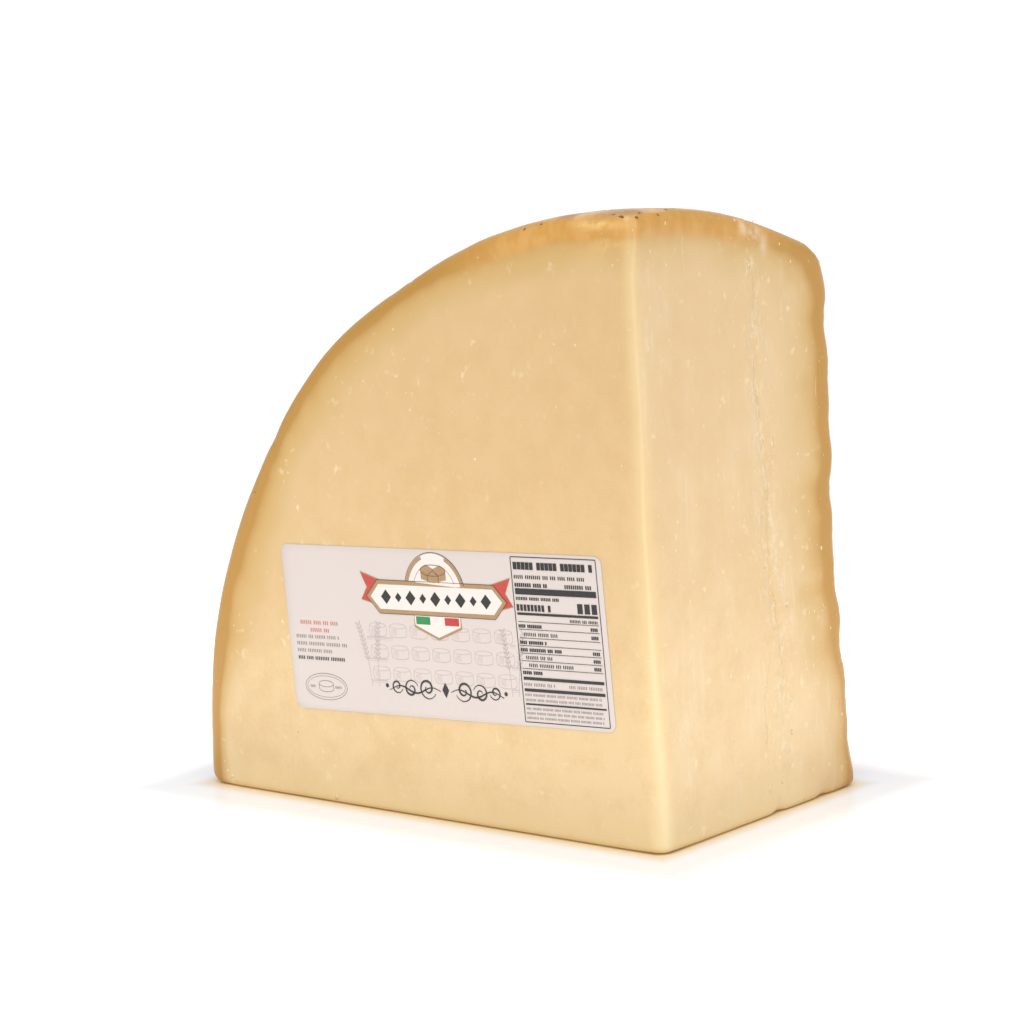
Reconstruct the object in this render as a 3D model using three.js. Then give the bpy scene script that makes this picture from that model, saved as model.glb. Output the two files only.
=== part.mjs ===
// A piece of hard, aged cheese with a paper label: an eighth of a wheel.
//
// The wheel was cut through at half its height, and each half was quartered. This quarter of a
// half stands on one of its two radial cuts, the base. Its other radial cut is the side, which
// faces +X. The cut at half height is the front, which faces -Y and carries the label. The
// wheel's flat rind is the back, which faces +Y, and its curved rind, the heel, goes over the
// top from the left foot to the side.
//
// Millimetres, +Z up, origin on the ground under the middle of the piece. The shape is worked
// out in the wheel's frame first: the wheel's axis is the line x = 0, z = 0, and y runs along
// it from the front (y = 0) to the back.

import * as THREE from 'three';

// The wheel that the piece was cut from
const WHEEL_RADIUS = 206; // at half height, where the heel bulges most
const HALF_HEIGHT = 101.6; // from the front to the back
const HEEL_FALL = 0.00236; // the heel's radius shrinks by this much times y squared
const CENTRE_RISE = { height: 2.8, reach: 47 }; // the back stands proud round the wheel's axis
const RING_HOLLOW = { depth: 1.85, radius: 85, reach: 26.5 }; // and is hollow in a ring round that

// The heel isn't quite round: how far it stands out at some degrees above the base
const HEEL_SWELLS = [
  { at: 0, out: -0.1 },
  { at: 19, out: 1.1 },
  { at: 34, out: 0.2 },
  { at: 48, out: 1.3 },
  { at: 63, out: -1.1 },
  { at: 76, out: -0.5 },
  { at: 90, out: -0.8 },
];

// Ripples of the back, which the wheel took from its cloth and its shelf
const RIPPLES = [
  { height: 0.5, spacing: 27, lean: 0.2, sway: 0.9 },
  { height: 0.35, spacing: 18, lean: -0.35, sway: 1.4 },
];
const RIPPLE_SWAY = 75; // over how many millimetres along x a ripple wanders once

// How deep behind a face its rounding into each neighbour reaches
const UPRIGHT_EDGE = { foot: 7.5, top: 5 };
const EDGE_RADIUS = {
  base: { side: 2, heel: 5.5, front: 2, back: 2.5 },
  side: { base: 2, heel: 4.5, front: UPRIGHT_EDGE, back: 5 },
  heel: { base: 5.5, side: 4.5, front: 4.5, back: 6 },
  front: { base: 2, side: UPRIGHT_EDGE, heel: 4.5 },
  back: { base: 2.5, side: 5, heel: 14 },
};
const EDGE_REACH = 5; // how near an edge a point takes that edge's radius

// The crack down the side, a wandering line that leans towards the back at its foot
const CRACK = { depth: 0.9, width: 1.9, top: 188, foot: 14, yTop: 58.5, yFoot: 66.5 };
const CRACK_SWAY = { out: 1.2, turns: 3 };
const CRACK_SKIN = 8; // how deep behind the side the crack still moves the surface

// Places where a crumb of cheese or rind is missing
const CHIPS = [
  { name: 'foot of the side', x: 0, y: 60, z: 0, reach: 3, depth: 0.9 },
  { name: 'foot of the side, further back', x: 0, y: 83.5, z: 0, reach: 3, depth: 0.8 },
  { name: 'flake off the side', x: 0, y: 84, z: 72, reach: 5, depth: 0.9 },
  { name: 'low scar of the heel', x: -163.5, y: 0, z: 125.5, reach: 3, depth: 0.4 },
  { name: 'high scar of the heel', x: -104.5, y: 0, z: 177.5, reach: 3, depth: 0.5 },
  { name: 'left foot', x: -203, y: 0, z: 3, reach: 3, depth: 0.4 },
];
const CHIP_END = 3; // a chip ends at this many times its reach

// The base is flat between four spots near its corners, which carry the piece. Outside them it
// rises gently, by a slope, and along each line between two spots it starts to rise sooner.
const BASE_RISE = { slope: 0.01, sooner: 3, fade: 20 };

// The paper label on the front
const LABEL = { width: 142.8, height: 57.1, thickness: 0.4, corner: 3 };
const LABEL_PLACE = { x: -89.2, z: 63.9, tilt: 2.64, gap: 0.3 };

// How closely the surface is divided into triangles
const END_STEPS = [0, 1.2, 3, 5.6, 9.2]; // from every edge inwards, to make it round
const STEP = { base: 15, heel: 7.5, side: 7, depth: 5.5 };
const BACK_RINGS = 12; // between the round edge of the back and its middle
const MIDDLE = new THREE.Vector3(-84, HALF_HEIGHT / 2, 84);
const FOOT_SPOTS = footSpots();

const COLOURS = { cheese: 0xe9cb93, label: 0xf0e4da };

// The wheel's own surfaces

function heelSwell(angle) {
  const degrees = THREE.MathUtils.clamp(THREE.MathUtils.radToDeg(angle), 0, 90);
  const upper = Math.max(1, HEEL_SWELLS.findIndex((swell) => degrees <= swell.at));
  const low = HEEL_SWELLS[upper - 1];
  const high = HEEL_SWELLS[upper];
  const share = THREE.MathUtils.smoothstep(degrees, low.at, high.at);
  return THREE.MathUtils.lerp(low.out, high.out, share);
}

function heelRadius(y, angle) {
  return WHEEL_RADIUS + heelSwell(angle) - HEEL_FALL * y * y;
}

function bump(distance, reach) {
  return Math.exp(-((distance / reach) ** 2));
}

function ripples(x, z) {
  return RIPPLES.reduce((sum, wave) => {
    const wander = wave.sway * Math.sin((2 * Math.PI * x) / RIPPLE_SWAY);
    return sum + wave.height * Math.sin((2 * Math.PI * (z + wave.lean * x)) / wave.spacing + wander);
  }, 0);
}

// How far along the wheel's axis the back lies.
function backPlace(x, z) {
  const radius = Math.hypot(x, z);
  const rise = CENTRE_RISE.height * bump(radius, CENTRE_RISE.reach);
  const hollow = RING_HOLLOW.depth * bump(radius - RING_HOLLOW.radius, RING_HOLLOW.reach);
  return HALF_HEIGHT + rise - hollow + ripples(x, z);
}

// The five faces: how deep a point lies behind each, and the way straight out of it

const FACES = {
  base: { depth: (p) => p.z, out: () => new THREE.Vector3(0, 0, -1) },
  side: { depth: (p) => -p.x, out: () => new THREE.Vector3(1, 0, 0) },
  heel: {
    depth: (p) => heelRadius(p.y, Math.atan2(p.z, -p.x)) - Math.hypot(p.x, p.z),
    out: (p) => new THREE.Vector3(p.x, 0, p.z).normalize(),
  },
  front: { depth: (p) => p.y, out: () => new THREE.Vector3(0, -1, 0) },
  back: { depth: (p) => HALF_HEIGHT - p.y, out: () => new THREE.Vector3(0, 1, 0) },
};

// An edge's radius at a height, where it may be rounder at its foot than at its top.
function radiusAt(radius, z) {
  return radius.foot ? THREE.MathUtils.lerp(radius.foot, radius.top, z / WHEEL_RADIUS) : radius;
}

// The radius that a face takes at a point: that of its nearest edge, blended near a corner.
function faceRadius(face, p, depths) {
  let total = 0;
  let weights = 0;
  for (const [neighbour, radius] of Object.entries(EDGE_RADIUS[face])) {
    const weight = Math.exp(-Math.max(depths[neighbour], 0) / EDGE_REACH);
    total += weight * radiusAt(radius, p.z);
    weights += weight;
  }
  return total / weights;
}

// Moves a point of the sharp-edged piece onto the round edge or corner that it lies near.
function softened(p) {
  const names = Object.keys(FACES);
  const depths = Object.fromEntries(names.map((face) => [face, FACES[face].depth(p)]));
  const radii = names.map((face) => faceRadius(face, p, depths));
  const reach = names.map((face, i) => Math.max(0, 1 - depths[face] / radii[i]));
  const length = Math.hypot(...reach);
  const moved = p.clone();
  if (length > 1) {
    names.forEach((face, i) => {
      moved.addScaledVector(FACES[face].out(p), -radii[i] * reach[i] * (1 - 1 / length));
    });
  }
  return moved;
}

// Sinks the crack into the side. It fades out at both its ends.
function cracked(p) {
  const down = (CRACK.top - p.z) / (CRACK.top - CRACK.foot);
  if (down < 0 || down > 1) {
    return p;
  }
  const sway = CRACK_SWAY.out * Math.sin(2 * Math.PI * CRACK_SWAY.turns * down);
  const y = THREE.MathUtils.lerp(CRACK.yTop, CRACK.yFoot, down) + sway;
  const depth = CRACK.depth * Math.sqrt(Math.sin(Math.PI * down)) * bump(p.y - y, CRACK.width);
  p.x -= depth * bump(p.x, CRACK_SKIN);
  return p;
}

// Pulls the points round each chip in towards the middle of the piece.
function chipped(p) {
  for (const chip of CHIPS) {
    const away = p.distanceTo(chip);
    if (away < CHIP_END * chip.reach) {
      const inwards = MIDDLE.clone().sub(p).normalize();
      p.addScaledVector(inwards, chip.depth * bump(away, chip.reach));
    }
  }
  return p;
}

// The spot of the base at a share of the way from the axis to the foot, and at a place along y.
function footSpot(share, y) {
  const x = -share * heelRadius(y, 0);
  return new THREE.Vector2(x, (y * backPlace(x, 0)) / HALF_HEIGHT);
}

// The four spots that carry the piece, in turn round the base.
function footSpots() {
  const inset = END_STEPS.at(-1);
  const nearAxis = inset / WHEEL_RADIUS;
  const nearFoot = 1 - nearAxis;
  const nearBack = HALF_HEIGHT - inset;
  return [
    footSpot(nearFoot, inset),
    footSpot(nearAxis, inset),
    footSpot(nearAxis, nearBack),
    footSpot(nearFoot, nearBack),
  ];
}

// How far a point of the base stands clear of the ground.
function baseRise(p, spots) {
  const outside = spots.map((spot, i) => {
    const line = spots[(i + 1) % spots.length].clone().sub(spot);
    const away = new THREE.Vector2(p.x, p.y).sub(spot);
    const share = THREE.MathUtils.clamp(away.dot(line) / line.lengthSq(), 0, 1);
    const sooner = BASE_RISE.sooner * 4 * share * (1 - share);
    return away.cross(line) / line.length() + sooner;
  });
  return BASE_RISE.slope * Math.max(0, ...outside);
}

// A point of the finished surface from a point of the sharp-edged quarter.
function finished(p) {
  const q = chipped(cracked(softened(p)));
  q.y *= backPlace(q.x, q.z) / HALF_HEIGHT;
  q.z += baseRise(q, FOOT_SPOTS) * Math.max(0, 1 - q.z / BASE_RISE.fade);
  return q;
}

// Distances along a stretch, close together at both ends, where the edges are round.
function stations(length, step) {
  const first = END_STEPS.at(-1);
  const between = length - 2 * first;
  const count = Math.round(between / step);
  const even = Array.from({ length: count - 1 }, (_, i) => first + ((i + 1) * between) / count);
  return [...END_STEPS, ...even, ...END_STEPS.map((d) => length - d).reverse()];
}

// Shares of the way along a stretch, without its last point, where the next stretch starts.
function shares(length, step) {
  return stations(length, step).slice(0, -1).map((d) => d / length);
}

const ALONG = {
  base: shares(WHEEL_RADIUS, STEP.base),
  heel: shares((WHEEL_RADIUS * Math.PI) / 2, STEP.heel),
  side: shares(WHEEL_RADIUS, STEP.side),
};

// The sharp-edged outline of the quarter at one place y, drawn in by an inset all round.
function outline(y, inset) {
  const lowest = Math.asin(inset / (heelRadius(y, 0) - inset));
  const heelPoint = (share) => {
    const angle = THREE.MathUtils.lerp(lowest, Math.PI / 2 - lowest, share);
    const radius = heelRadius(y, angle) - inset;
    return new THREE.Vector3(-radius * Math.cos(angle), y, radius * Math.sin(angle));
  };
  const axis = new THREE.Vector3(-inset, y, inset);
  const foot = heelPoint(0);
  const top = heelPoint(1);
  return [
    ...ALONG.base.map((share) => axis.clone().lerp(foot, share)),
    ...ALONG.heel.map(heelPoint),
    ...ALONG.side.map((share) => top.clone().lerp(axis, share)),
  ];
}

// The middle of the back, on which its rings close.
function backMiddle() {
  return MIDDLE.clone().setY(HALF_HEIGHT);
}

// All the outlines in order: out over the front, back along the sides and in over the back.
function rings() {
  const insets = END_STEPS.slice(1);
  const backEdge = insets.map((inset) => outline(HALF_HEIGHT, inset));
  const backWeb = Array.from({ length: BACK_RINGS - 1 }, (_, i) => {
    return backEdge.at(-1).map((p) => p.clone().lerp(backMiddle(), (i + 1) / BACK_RINGS));
  });
  return [
    ...insets.map((inset) => outline(0, inset)).reverse(),
    ...stations(HALF_HEIGHT, STEP.depth).map((y) => outline(y, 0)),
    ...backEdge,
    ...backWeb,
  ];
}

// The surface between two neighbouring rings, two triangles for each point round them.
function bandTriangles(first, count) {
  const triangles = [];
  for (let i = 0; i < count; i += 1) {
    const a = first + i;
    const b = first + ((i + 1) % count);
    triangles.push(a, b, a + count, b, b + count, a + count);
  }
  return triangles;
}

// The flat middle of the front, which the first ring encloses.
function frontTriangles(ring) {
  const contour = ring.map((p) => new THREE.Vector2(p.x, p.z));
  return THREE.ShapeUtils.triangulateShape(contour, []).flat();
}

// The middle of the back, where the last ring closes on one point.
function backTriangles(first, count, middle) {
  return Array.from({ length: count }, (_, i) => [first + i, first + ((i + 1) % count), middle]).flat();
}

function cheeseGeometry() {
  const loops = rings();
  const count = loops[0].length;
  const points = [...loops.flat(), backMiddle()].map(finished);
  const triangles = [
    ...frontTriangles(points.slice(0, count)),
    ...loops.slice(1).flatMap((_, i) => bandTriangles(i * count, count)),
    ...backTriangles((loops.length - 1) * count, count, points.length - 1),
  ];
  const geometry = new THREE.BufferGeometry().setFromPoints(points);
  geometry.setIndex(triangles);
  geometry.computeVertexNormals();
  return geometry;
}

function makeCheese() {
  const material = new THREE.MeshStandardMaterial({
    color: COLOURS.cheese,
    roughness: 0.5,
    metalness: 0,
  });
  const mesh = new THREE.Mesh(cheeseGeometry(), material);
  mesh.name = 'cheese';
  return mesh;
}

function labelOutline() {
  const { width, height, corner } = LABEL;
  const right = width / 2 - corner;
  const top = height / 2 - corner;
  const quarter = Math.PI / 2;
  return new THREE.Shape()
    .absarc(right, top, corner, 0, quarter)
    .absarc(-right, top, corner, quarter, 2 * quarter)
    .absarc(-right, -top, corner, 2 * quarter, 3 * quarter)
    .absarc(right, -top, corner, 3 * quarter, 4 * quarter);
}

// The label is extruded flat, then stood up against the front and turned a little in its plane.
function makeLabel() {
  const geometry = new THREE.ExtrudeGeometry(labelOutline(), {
    depth: LABEL.thickness,
    bevelEnabled: false,
    curveSegments: 6,
  });
  const material = new THREE.MeshStandardMaterial({
    color: COLOURS.label,
    roughness: 0.6,
    metalness: 0,
  });
  const mesh = new THREE.Mesh(geometry, material);
  mesh.name = 'label';
  mesh.rotation.set(Math.PI / 2, 0, THREE.MathUtils.degToRad(LABEL_PLACE.tilt));
  mesh.position.set(LABEL_PLACE.x, -LABEL_PLACE.gap, LABEL_PLACE.z);
  return mesh;
}

// Puts the origin on the ground under the middle of the whole piece.
function centreOverGround(group) {
  const box = new THREE.Box3().setFromObject(group, true);
  const middle = box.getCenter(new THREE.Vector3());
  group.position.set(-middle.x, -middle.y, -box.min.z);
  return group;
}

const piece = new THREE.Group();
piece.name = 'cheese_piece';
piece.add(makeCheese(), makeLabel());

export default centreOverGround(piece);
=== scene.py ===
# %% [markdown]
# This file dresses one object: an eighth of a wheel of hard aged cheese, wrapped in clear film,
# with a paper label on its front. The wheel was cut through at half its height and each half
# quartered, and this quarter stands on one of its straight cuts.
# The frame comes first. It holds the plain solids of the piece, and everything made here is fitted to them.
# Their box is kept, and the table is laid out round it.

# %% Load the frame
import math
import random

import bpy
import numpy as np
from mathutils import Matrix, Vector


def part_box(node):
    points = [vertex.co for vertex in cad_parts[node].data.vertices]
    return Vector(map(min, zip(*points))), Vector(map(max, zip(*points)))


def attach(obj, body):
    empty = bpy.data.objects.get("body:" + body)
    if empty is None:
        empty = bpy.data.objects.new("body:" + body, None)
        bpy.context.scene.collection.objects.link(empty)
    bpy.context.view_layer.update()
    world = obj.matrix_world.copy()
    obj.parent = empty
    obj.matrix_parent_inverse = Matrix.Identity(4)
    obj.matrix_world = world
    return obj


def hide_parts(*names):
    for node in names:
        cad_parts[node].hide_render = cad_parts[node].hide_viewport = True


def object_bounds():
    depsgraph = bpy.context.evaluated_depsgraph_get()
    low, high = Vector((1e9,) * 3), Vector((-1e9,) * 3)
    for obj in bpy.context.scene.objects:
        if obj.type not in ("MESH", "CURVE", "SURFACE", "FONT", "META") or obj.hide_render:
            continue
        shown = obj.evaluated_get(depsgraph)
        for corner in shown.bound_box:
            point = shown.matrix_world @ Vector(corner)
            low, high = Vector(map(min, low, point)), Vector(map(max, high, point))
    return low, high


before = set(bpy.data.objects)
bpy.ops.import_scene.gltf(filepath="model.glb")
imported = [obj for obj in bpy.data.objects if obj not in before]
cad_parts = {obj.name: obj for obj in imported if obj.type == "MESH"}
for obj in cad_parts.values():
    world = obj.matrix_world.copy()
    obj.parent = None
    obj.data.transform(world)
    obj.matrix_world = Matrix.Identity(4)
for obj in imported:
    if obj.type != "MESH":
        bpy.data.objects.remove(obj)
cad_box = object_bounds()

print("the plain solids lie between", [tuple(round(v, 4) for v in corner) for corner in cad_box])

# %% [markdown]
# A cut of a wheel is easiest to describe in the wheel's own frame: millimetres, with the wheel's
# axis along y where x and z are 0. The front, the cut at half height, is then y = 0. The side,
# the upright straight cut, is x = 0, and the base is z = 0.
# One function turns such points into the metres of the scene. It reads where the wheel's axis
# lies from the box of the plain cheese, so nothing has to be typed in twice.

# %% The wheel's own frame
cheese_low, cheese_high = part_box("cheese")
WHEEL_ORIGIN = np.array([cheese_high.x, cheese_low.y, cheese_low.z])
MM = 0.001


def in_scene(points):
    """Points of the wheel's frame, in millimetres, as metres of the scene."""
    return np.asarray(points, float) * MM + WHEEL_ORIGIN


print("the wheel's axis meets the front at", np.round(WHEEL_ORIGIN, 4))

# %% [markdown]
# The camera stands to the right of the piece and a little above it, so the front and the side
# both show. It is far away with a long lens, which keeps upright edges nearly parallel, as in a
# catalogue picture. Its place and turn were fitted to the edges of the piece. A matrix made of
# the camera's own right, up and back directions sets them exactly, with no aiming by eye.

# %% Camera
CAMERA_PLACE = (735.44, -888.34, 315.58)
CAMERA_YAW = math.radians(41.706)
CAMERA_PITCH = math.radians(9.89)
CAMERA_ROLL = math.radians(-3.506)
FOCAL_PIXELS = 3752.7
IMAGE_PIXELS = 1020
SENSOR = 36


def camera_axes():
    """The camera's right, up and back directions."""
    level = Vector((-math.sin(CAMERA_YAW), math.cos(CAMERA_YAW), 0))
    right = Vector((math.cos(CAMERA_YAW), math.sin(CAMERA_YAW), 0))
    upright = Vector((0, 0, 1))
    ahead = level * math.cos(CAMERA_PITCH) - upright * math.sin(CAMERA_PITCH)
    up = upright * math.cos(CAMERA_PITCH) + level * math.sin(CAMERA_PITCH)
    rolled_right = right * math.cos(CAMERA_ROLL) + up * math.sin(CAMERA_ROLL)
    rolled_up = up * math.cos(CAMERA_ROLL) - right * math.sin(CAMERA_ROLL)
    return rolled_right, rolled_up, -ahead


lens = bpy.data.cameras.new("camera")
lens.sensor_width = SENSOR
lens.lens = SENSOR * FOCAL_PIXELS / IMAGE_PIXELS
lens.clip_end = 100
camera = bpy.data.objects.new("camera", lens)
bpy.context.scene.collection.objects.link(camera)
turn = Matrix(camera_axes()).transposed().to_4x4()
camera.matrix_world = Matrix.Translation(Vector(in_scene(CAMERA_PLACE))) @ turn
bpy.context.scene.camera = camera
print("the lens is", round(lens.lens, 1), "mm long")

# %% [markdown]
# The faces of the piece. Two are flat cuts at right angles, the base and the side, and the front
# is the third cut, square to both. The other two are rind: the heel, which is the wheel's curved
# outside and goes over the top, and the back, the wheel's flat face.
# The heel bulges most at the front, because that was the middle of the wheel's height, and it
# isn't quite round. A short table of how far it swells at some angles, joined by smooth steps,
# gives that. Arrays of points go through each function at once, which keeps it quick.

# %% The wheel's surfaces
WHEEL_RADIUS = 206.0
HALF_HEIGHT = 101.6
HEEL_FALL = 0.00236
HEEL_SWELLS = {0: -0.1, 19: 1.1, 34: 0.2, 48: 1.3, 63: -1.1, 76: -0.5, 90: -0.8}


def smooth(share):
    """A share that starts and ends gently."""
    share = np.clip(share, 0, 1)
    return share * share * (3 - 2 * share)


def bell(distance, reach):
    """1 at no distance, fading to nothing beyond the reach."""
    return np.exp(-((distance / reach) ** 2))


def heel_radius(y, degrees):
    """How far the heel is from the wheel's axis."""
    at = np.array(list(HEEL_SWELLS), float)
    out = np.array(list(HEEL_SWELLS.values()))
    degrees = np.clip(degrees, 0, 90)
    low = np.clip(np.searchsorted(at, degrees) - 1, 0, len(at) - 2)
    share = smooth((degrees - at[low]) / (at[low + 1] - at[low]))
    swell = out[low] * (1 - share) + out[low + 1] * share
    return WHEEL_RADIUS + swell - HEEL_FALL * y * y


def face_depths(points):
    """How deep each point lies behind each of the five faces."""
    x, y, z = points.T
    degrees = np.degrees(np.arctan2(z, -x))
    heel = heel_radius(y, degrees) - np.hypot(x, z)
    return {"base": z, "side": -x, "heel": heel, "front": y, "back": HALF_HEIGHT - y}


print("the heel falls", round(HEEL_FALL * HALF_HEIGHT**2, 1), "mm from the front to the back")

# %% [markdown]
# Cheese has no sharp edges: the wire that cuts it drags the edge round, and the film presses it.
# Each pair of faces has its own roundness, largest where the heel runs into the back.
# A bevel modifier would round all edges alike. Here each point of the sharp form is moved on to
# the round one by a small rule: near an edge, its depths behind the two faces are counted in
# radii, and the point is drawn in until it lies on the circle between them. The same rule makes
# the corners, where three faces meet.

# %% Round edges
UPRIGHT_EDGE = {"foot": 7.5, "top": 5.0}
EDGE_RADIUS = {
    "base": {"side": 2, "heel": 5.5, "front": 2, "back": 2.5},
    "side": {"base": 2, "heel": 4.5, "front": "upright", "back": 5},
    "heel": {"base": 5.5, "side": 4.5, "front": 4.5, "back": 6},
    "front": {"base": 2, "side": "upright", "heel": 4.5},
    "back": {"base": 2.5, "side": 5, "heel": 14},
}
EDGE_REACH = 5.0


def outward(points):
    """The way straight out of each face at each point."""
    x, y, z = points.T
    radius = np.maximum(np.hypot(x, z), 1e-9)
    none = np.zeros(len(points))
    one = np.ones(len(points))
    return {
        "base": np.stack([none, none, -one], axis=1),
        "side": np.stack([one, none, none], axis=1),
        "heel": np.stack([x / radius, none, z / radius], axis=1),
        "front": np.stack([none, -one, none], axis=1),
        "back": np.stack([none, one, none], axis=1),
    }


def up_the_edge(points, ends):
    """A measure that runs evenly from its value at the foot to its value at the top."""
    return ends["foot"] + (ends["top"] - ends["foot"]) * points[:, 2] / WHEEL_RADIUS


def face_radius(face, points, depths):
    """The radius of each point's nearest edge, blended near a corner."""
    upright = up_the_edge(points, UPRIGHT_EDGE)
    total = np.zeros(len(points))
    weights = np.zeros(len(points))
    for neighbour, radius in EDGE_RADIUS[face].items():
        weight = np.exp(-np.maximum(depths[neighbour], 0) / EDGE_REACH)
        total += weight * (upright if radius == "upright" else radius)
        weights += weight
    return total / weights


def softened(points):
    """Points of the sharp-edged form moved on to its round edges."""
    depths = face_depths(points)
    radii = {face: face_radius(face, points, depths) for face in depths}
    reach = {face: np.maximum(0, 1 - depths[face] / radii[face]) for face in depths}
    length = np.sqrt(sum(value**2 for value in reach.values()))
    draw = np.where(length > 1, 1 - 1 / np.maximum(length, 1e-9), 0)
    moved = points.copy()
    for face, way in outward(points).items():
        moved -= way * (radii[face] * reach[face] * draw)[:, None]
    return moved


# %% [markdown]
# Four things shape the piece further. The back stands proud round the wheel's middle and has
# low ripples, from the cloth and the shelf that the wheel lay on. A long crack runs down the
# side, where the grainy cheese began to part. Small crumbs are missing from some edges, and the
# base rises a hair towards its own edges, so that four spots carry the piece.
# All are low, so moving the points a little is enough, and nothing has to be cut out.

# %% Back, crack and chips
CENTRE_RISE = {"height": 2.8, "reach": 47}
RING_HOLLOW = {"depth": 1.85, "radius": 85, "reach": 26.5}
RIPPLES = (
    {"height": 0.5, "spacing": 27, "lean": 0.2, "sway": 0.9},
    {"height": 0.35, "spacing": 18, "lean": -0.35, "sway": 1.4},
)
RIPPLE_SWAY = 75
CRACK = {"depth": 0.9, "width": 1.9, "top": 188, "foot": 14, "y_top": 58.5, "y_foot": 66.5}
CRACK_SWAY = {"out": 1.2, "turns": 3}
CRACK_SKIN = 8
CHIPS = (
    {"at": (0, 60, 0), "reach": 3, "depth": 0.9},
    {"at": (0, 83.5, 0), "reach": 3, "depth": 0.8},
    {"at": (0, 84, 72), "reach": 5, "depth": 0.9},
    {"at": (-163.5, 0, 125.5), "reach": 3, "depth": 0.4},
    {"at": (-104.5, 0, 177.5), "reach": 3, "depth": 0.5},
    {"at": (-203, 0, 3), "reach": 3, "depth": 0.4},
)
CHIP_END = 3
MIDDLE = np.array([-84, HALF_HEIGHT / 2, 84])
FOOT_INSET = 9.2
BASE_RISE = {"slope": 0.01, "sooner": 3, "fade": 20}


def back_place(x, z):
    """How far along the wheel's axis the back lies."""
    radius = np.hypot(x, z)
    place = HALF_HEIGHT + CENTRE_RISE["height"] * bell(radius, CENTRE_RISE["reach"])
    place -= RING_HOLLOW["depth"] * bell(radius - RING_HOLLOW["radius"], RING_HOLLOW["reach"])
    for wave in RIPPLES:
        wander = wave["sway"] * np.sin(2 * np.pi * x / RIPPLE_SWAY)
        turns = 2 * np.pi * (z + wave["lean"] * x) / wave["spacing"]
        place = place + wave["height"] * np.sin(turns + wander)
    return place


def crack_place(z):
    """Where the crack lies across the side at a height, and how far down its length that is."""
    down = (CRACK["top"] - z) / (CRACK["top"] - CRACK["foot"])
    sway = CRACK_SWAY["out"] * np.sin(2 * np.pi * CRACK_SWAY["turns"] * down)
    return CRACK["y_top"] + (CRACK["y_foot"] - CRACK["y_top"]) * down + sway, down


def foot_spots():
    """The four spots of the base that carry the piece, in turn round it."""
    near_axis = FOOT_INSET / WHEEL_RADIUS
    near_back = HALF_HEIGHT - FOOT_INSET
    share = np.array([1 - near_axis, near_axis, near_axis, 1 - near_axis])
    y = np.array([FOOT_INSET, FOOT_INSET, near_back, near_back])
    x = -share * heel_radius(y, np.zeros(4))
    return np.stack([x, y * back_place(x, np.zeros(4)) / HALF_HEIGHT], axis=1)


def base_rise(points):
    """How far the base stands clear of the ground outside its four spots."""
    spots = foot_spots()
    outside = np.zeros(len(points))
    for here, there in zip(spots, np.roll(spots, -1, axis=0)):
        line = there - here
        away = points[:, :2] - here
        share = np.clip(away @ line / (line @ line), 0, 1)
        out = (away[:, 0] * line[1] - away[:, 1] * line[0]) / np.linalg.norm(line)
        outside = np.maximum(outside, out + BASE_RISE["sooner"] * 4 * share * (1 - share))
    fade = np.clip(1 - points[:, 2] / BASE_RISE["fade"], 0, 1)
    return BASE_RISE["slope"] * outside * fade


def finished(points):
    """Points of the piece's surface from points of the sharp-edged quarter."""
    points = softened(points)
    y, down = crack_place(points[:, 2])
    inside = np.sqrt(np.sin(np.pi * np.clip(down, 0, 1)).clip(0))
    depth = CRACK["depth"] * inside * bell(points[:, 1] - y, CRACK["width"])
    points[:, 0] -= depth * bell(points[:, 0], CRACK_SKIN)
    for chip in CHIPS:
        away = np.linalg.norm(points - np.array(chip["at"]), axis=1)
        near = away < CHIP_END * chip["reach"]
        inwards = MIDDLE - points[near]
        inwards /= np.linalg.norm(inwards, axis=1)[:, None]
        points[near] += inwards * (chip["depth"] * bell(away[near], chip["reach"]))[:, None]
    points[:, 1] *= back_place(points[:, 0], points[:, 2]) / HALF_HEIGHT
    points[:, 2] += base_rise(points)
    return points


print("the crack is", CRACK["top"] - CRACK["foot"], "mm long")

# %% [markdown]
# Fine relief needs smooth random heights. Blender has noise functions, but they take one point
# at a time. This one takes a whole array: it drops a random number on each corner of a grid of
# cells and blends between them. The same seed always gives the same bumps, so each run of the
# file makes the same cheese.

# %% Smooth random heights
LATTICE = np.random.default_rng(11).uniform(-1, 1, 65536)


def corner_heights(cells, seed):
    """The random number that belongs to each corner of the grid."""
    mixed = cells[:, 0] * 73856093 ^ cells[:, 1] * 19349663 ^ cells[:, 2] * 83492791 ^ seed * 2971215073
    return LATTICE[(mixed ^ (mixed >> 15)) & 65535]


def random_heights(points, size, seed):
    """Heights between -1 and 1 over the points, in bumps about as wide as the size."""
    scaled = np.asarray(points, float) / size
    cells = np.floor(scaled).astype(np.int64)
    share = smooth(scaled - cells)
    heights = np.zeros(len(scaled))
    for corner in np.ndindex(2, 2, 2):
        weight = np.prod(np.where(corner, share, 1 - share), axis=1)
        heights += weight * corner_heights(cells + np.array(corner), seed)
    return heights


# %% [markdown]
# The fine relief of each face, as a height above the plain form. The front is nearly flat, with
# a slow waviness. The side shows faint upright drag marks of the cutting wire, and crumbs partly
# fill the crack in it and line its lips. The heel is hand-smooth but uneven, and the back has
# jags and notches where its ripples meet the cut.
# A point takes the relief of the face that it looks out of. Its normal decides that, and the
# squares of a normal's parts always add up to 1, so they serve as the shares.

# %% Fine relief
NOTCHES = (162.6, 138.8, 104.9, 98.2, 86.8, 74.7, 60.6, 43.4, 16.0)
NOTCH = {"depth": 0.3, "half_height": 1.6, "reach": 40, "lean": 0.18}
JAGS = {"height": 0.28, "spacing": 2.1}
CRACK_FILL = 0.45
BRANCH = {"top": 66, "foot": 6, "y_top": 62.5, "y_foot": 56}
FLAKE = {"y": 84, "z": 71, "wide": 6.5, "high": 7.5, "lift": 0.45}


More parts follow.
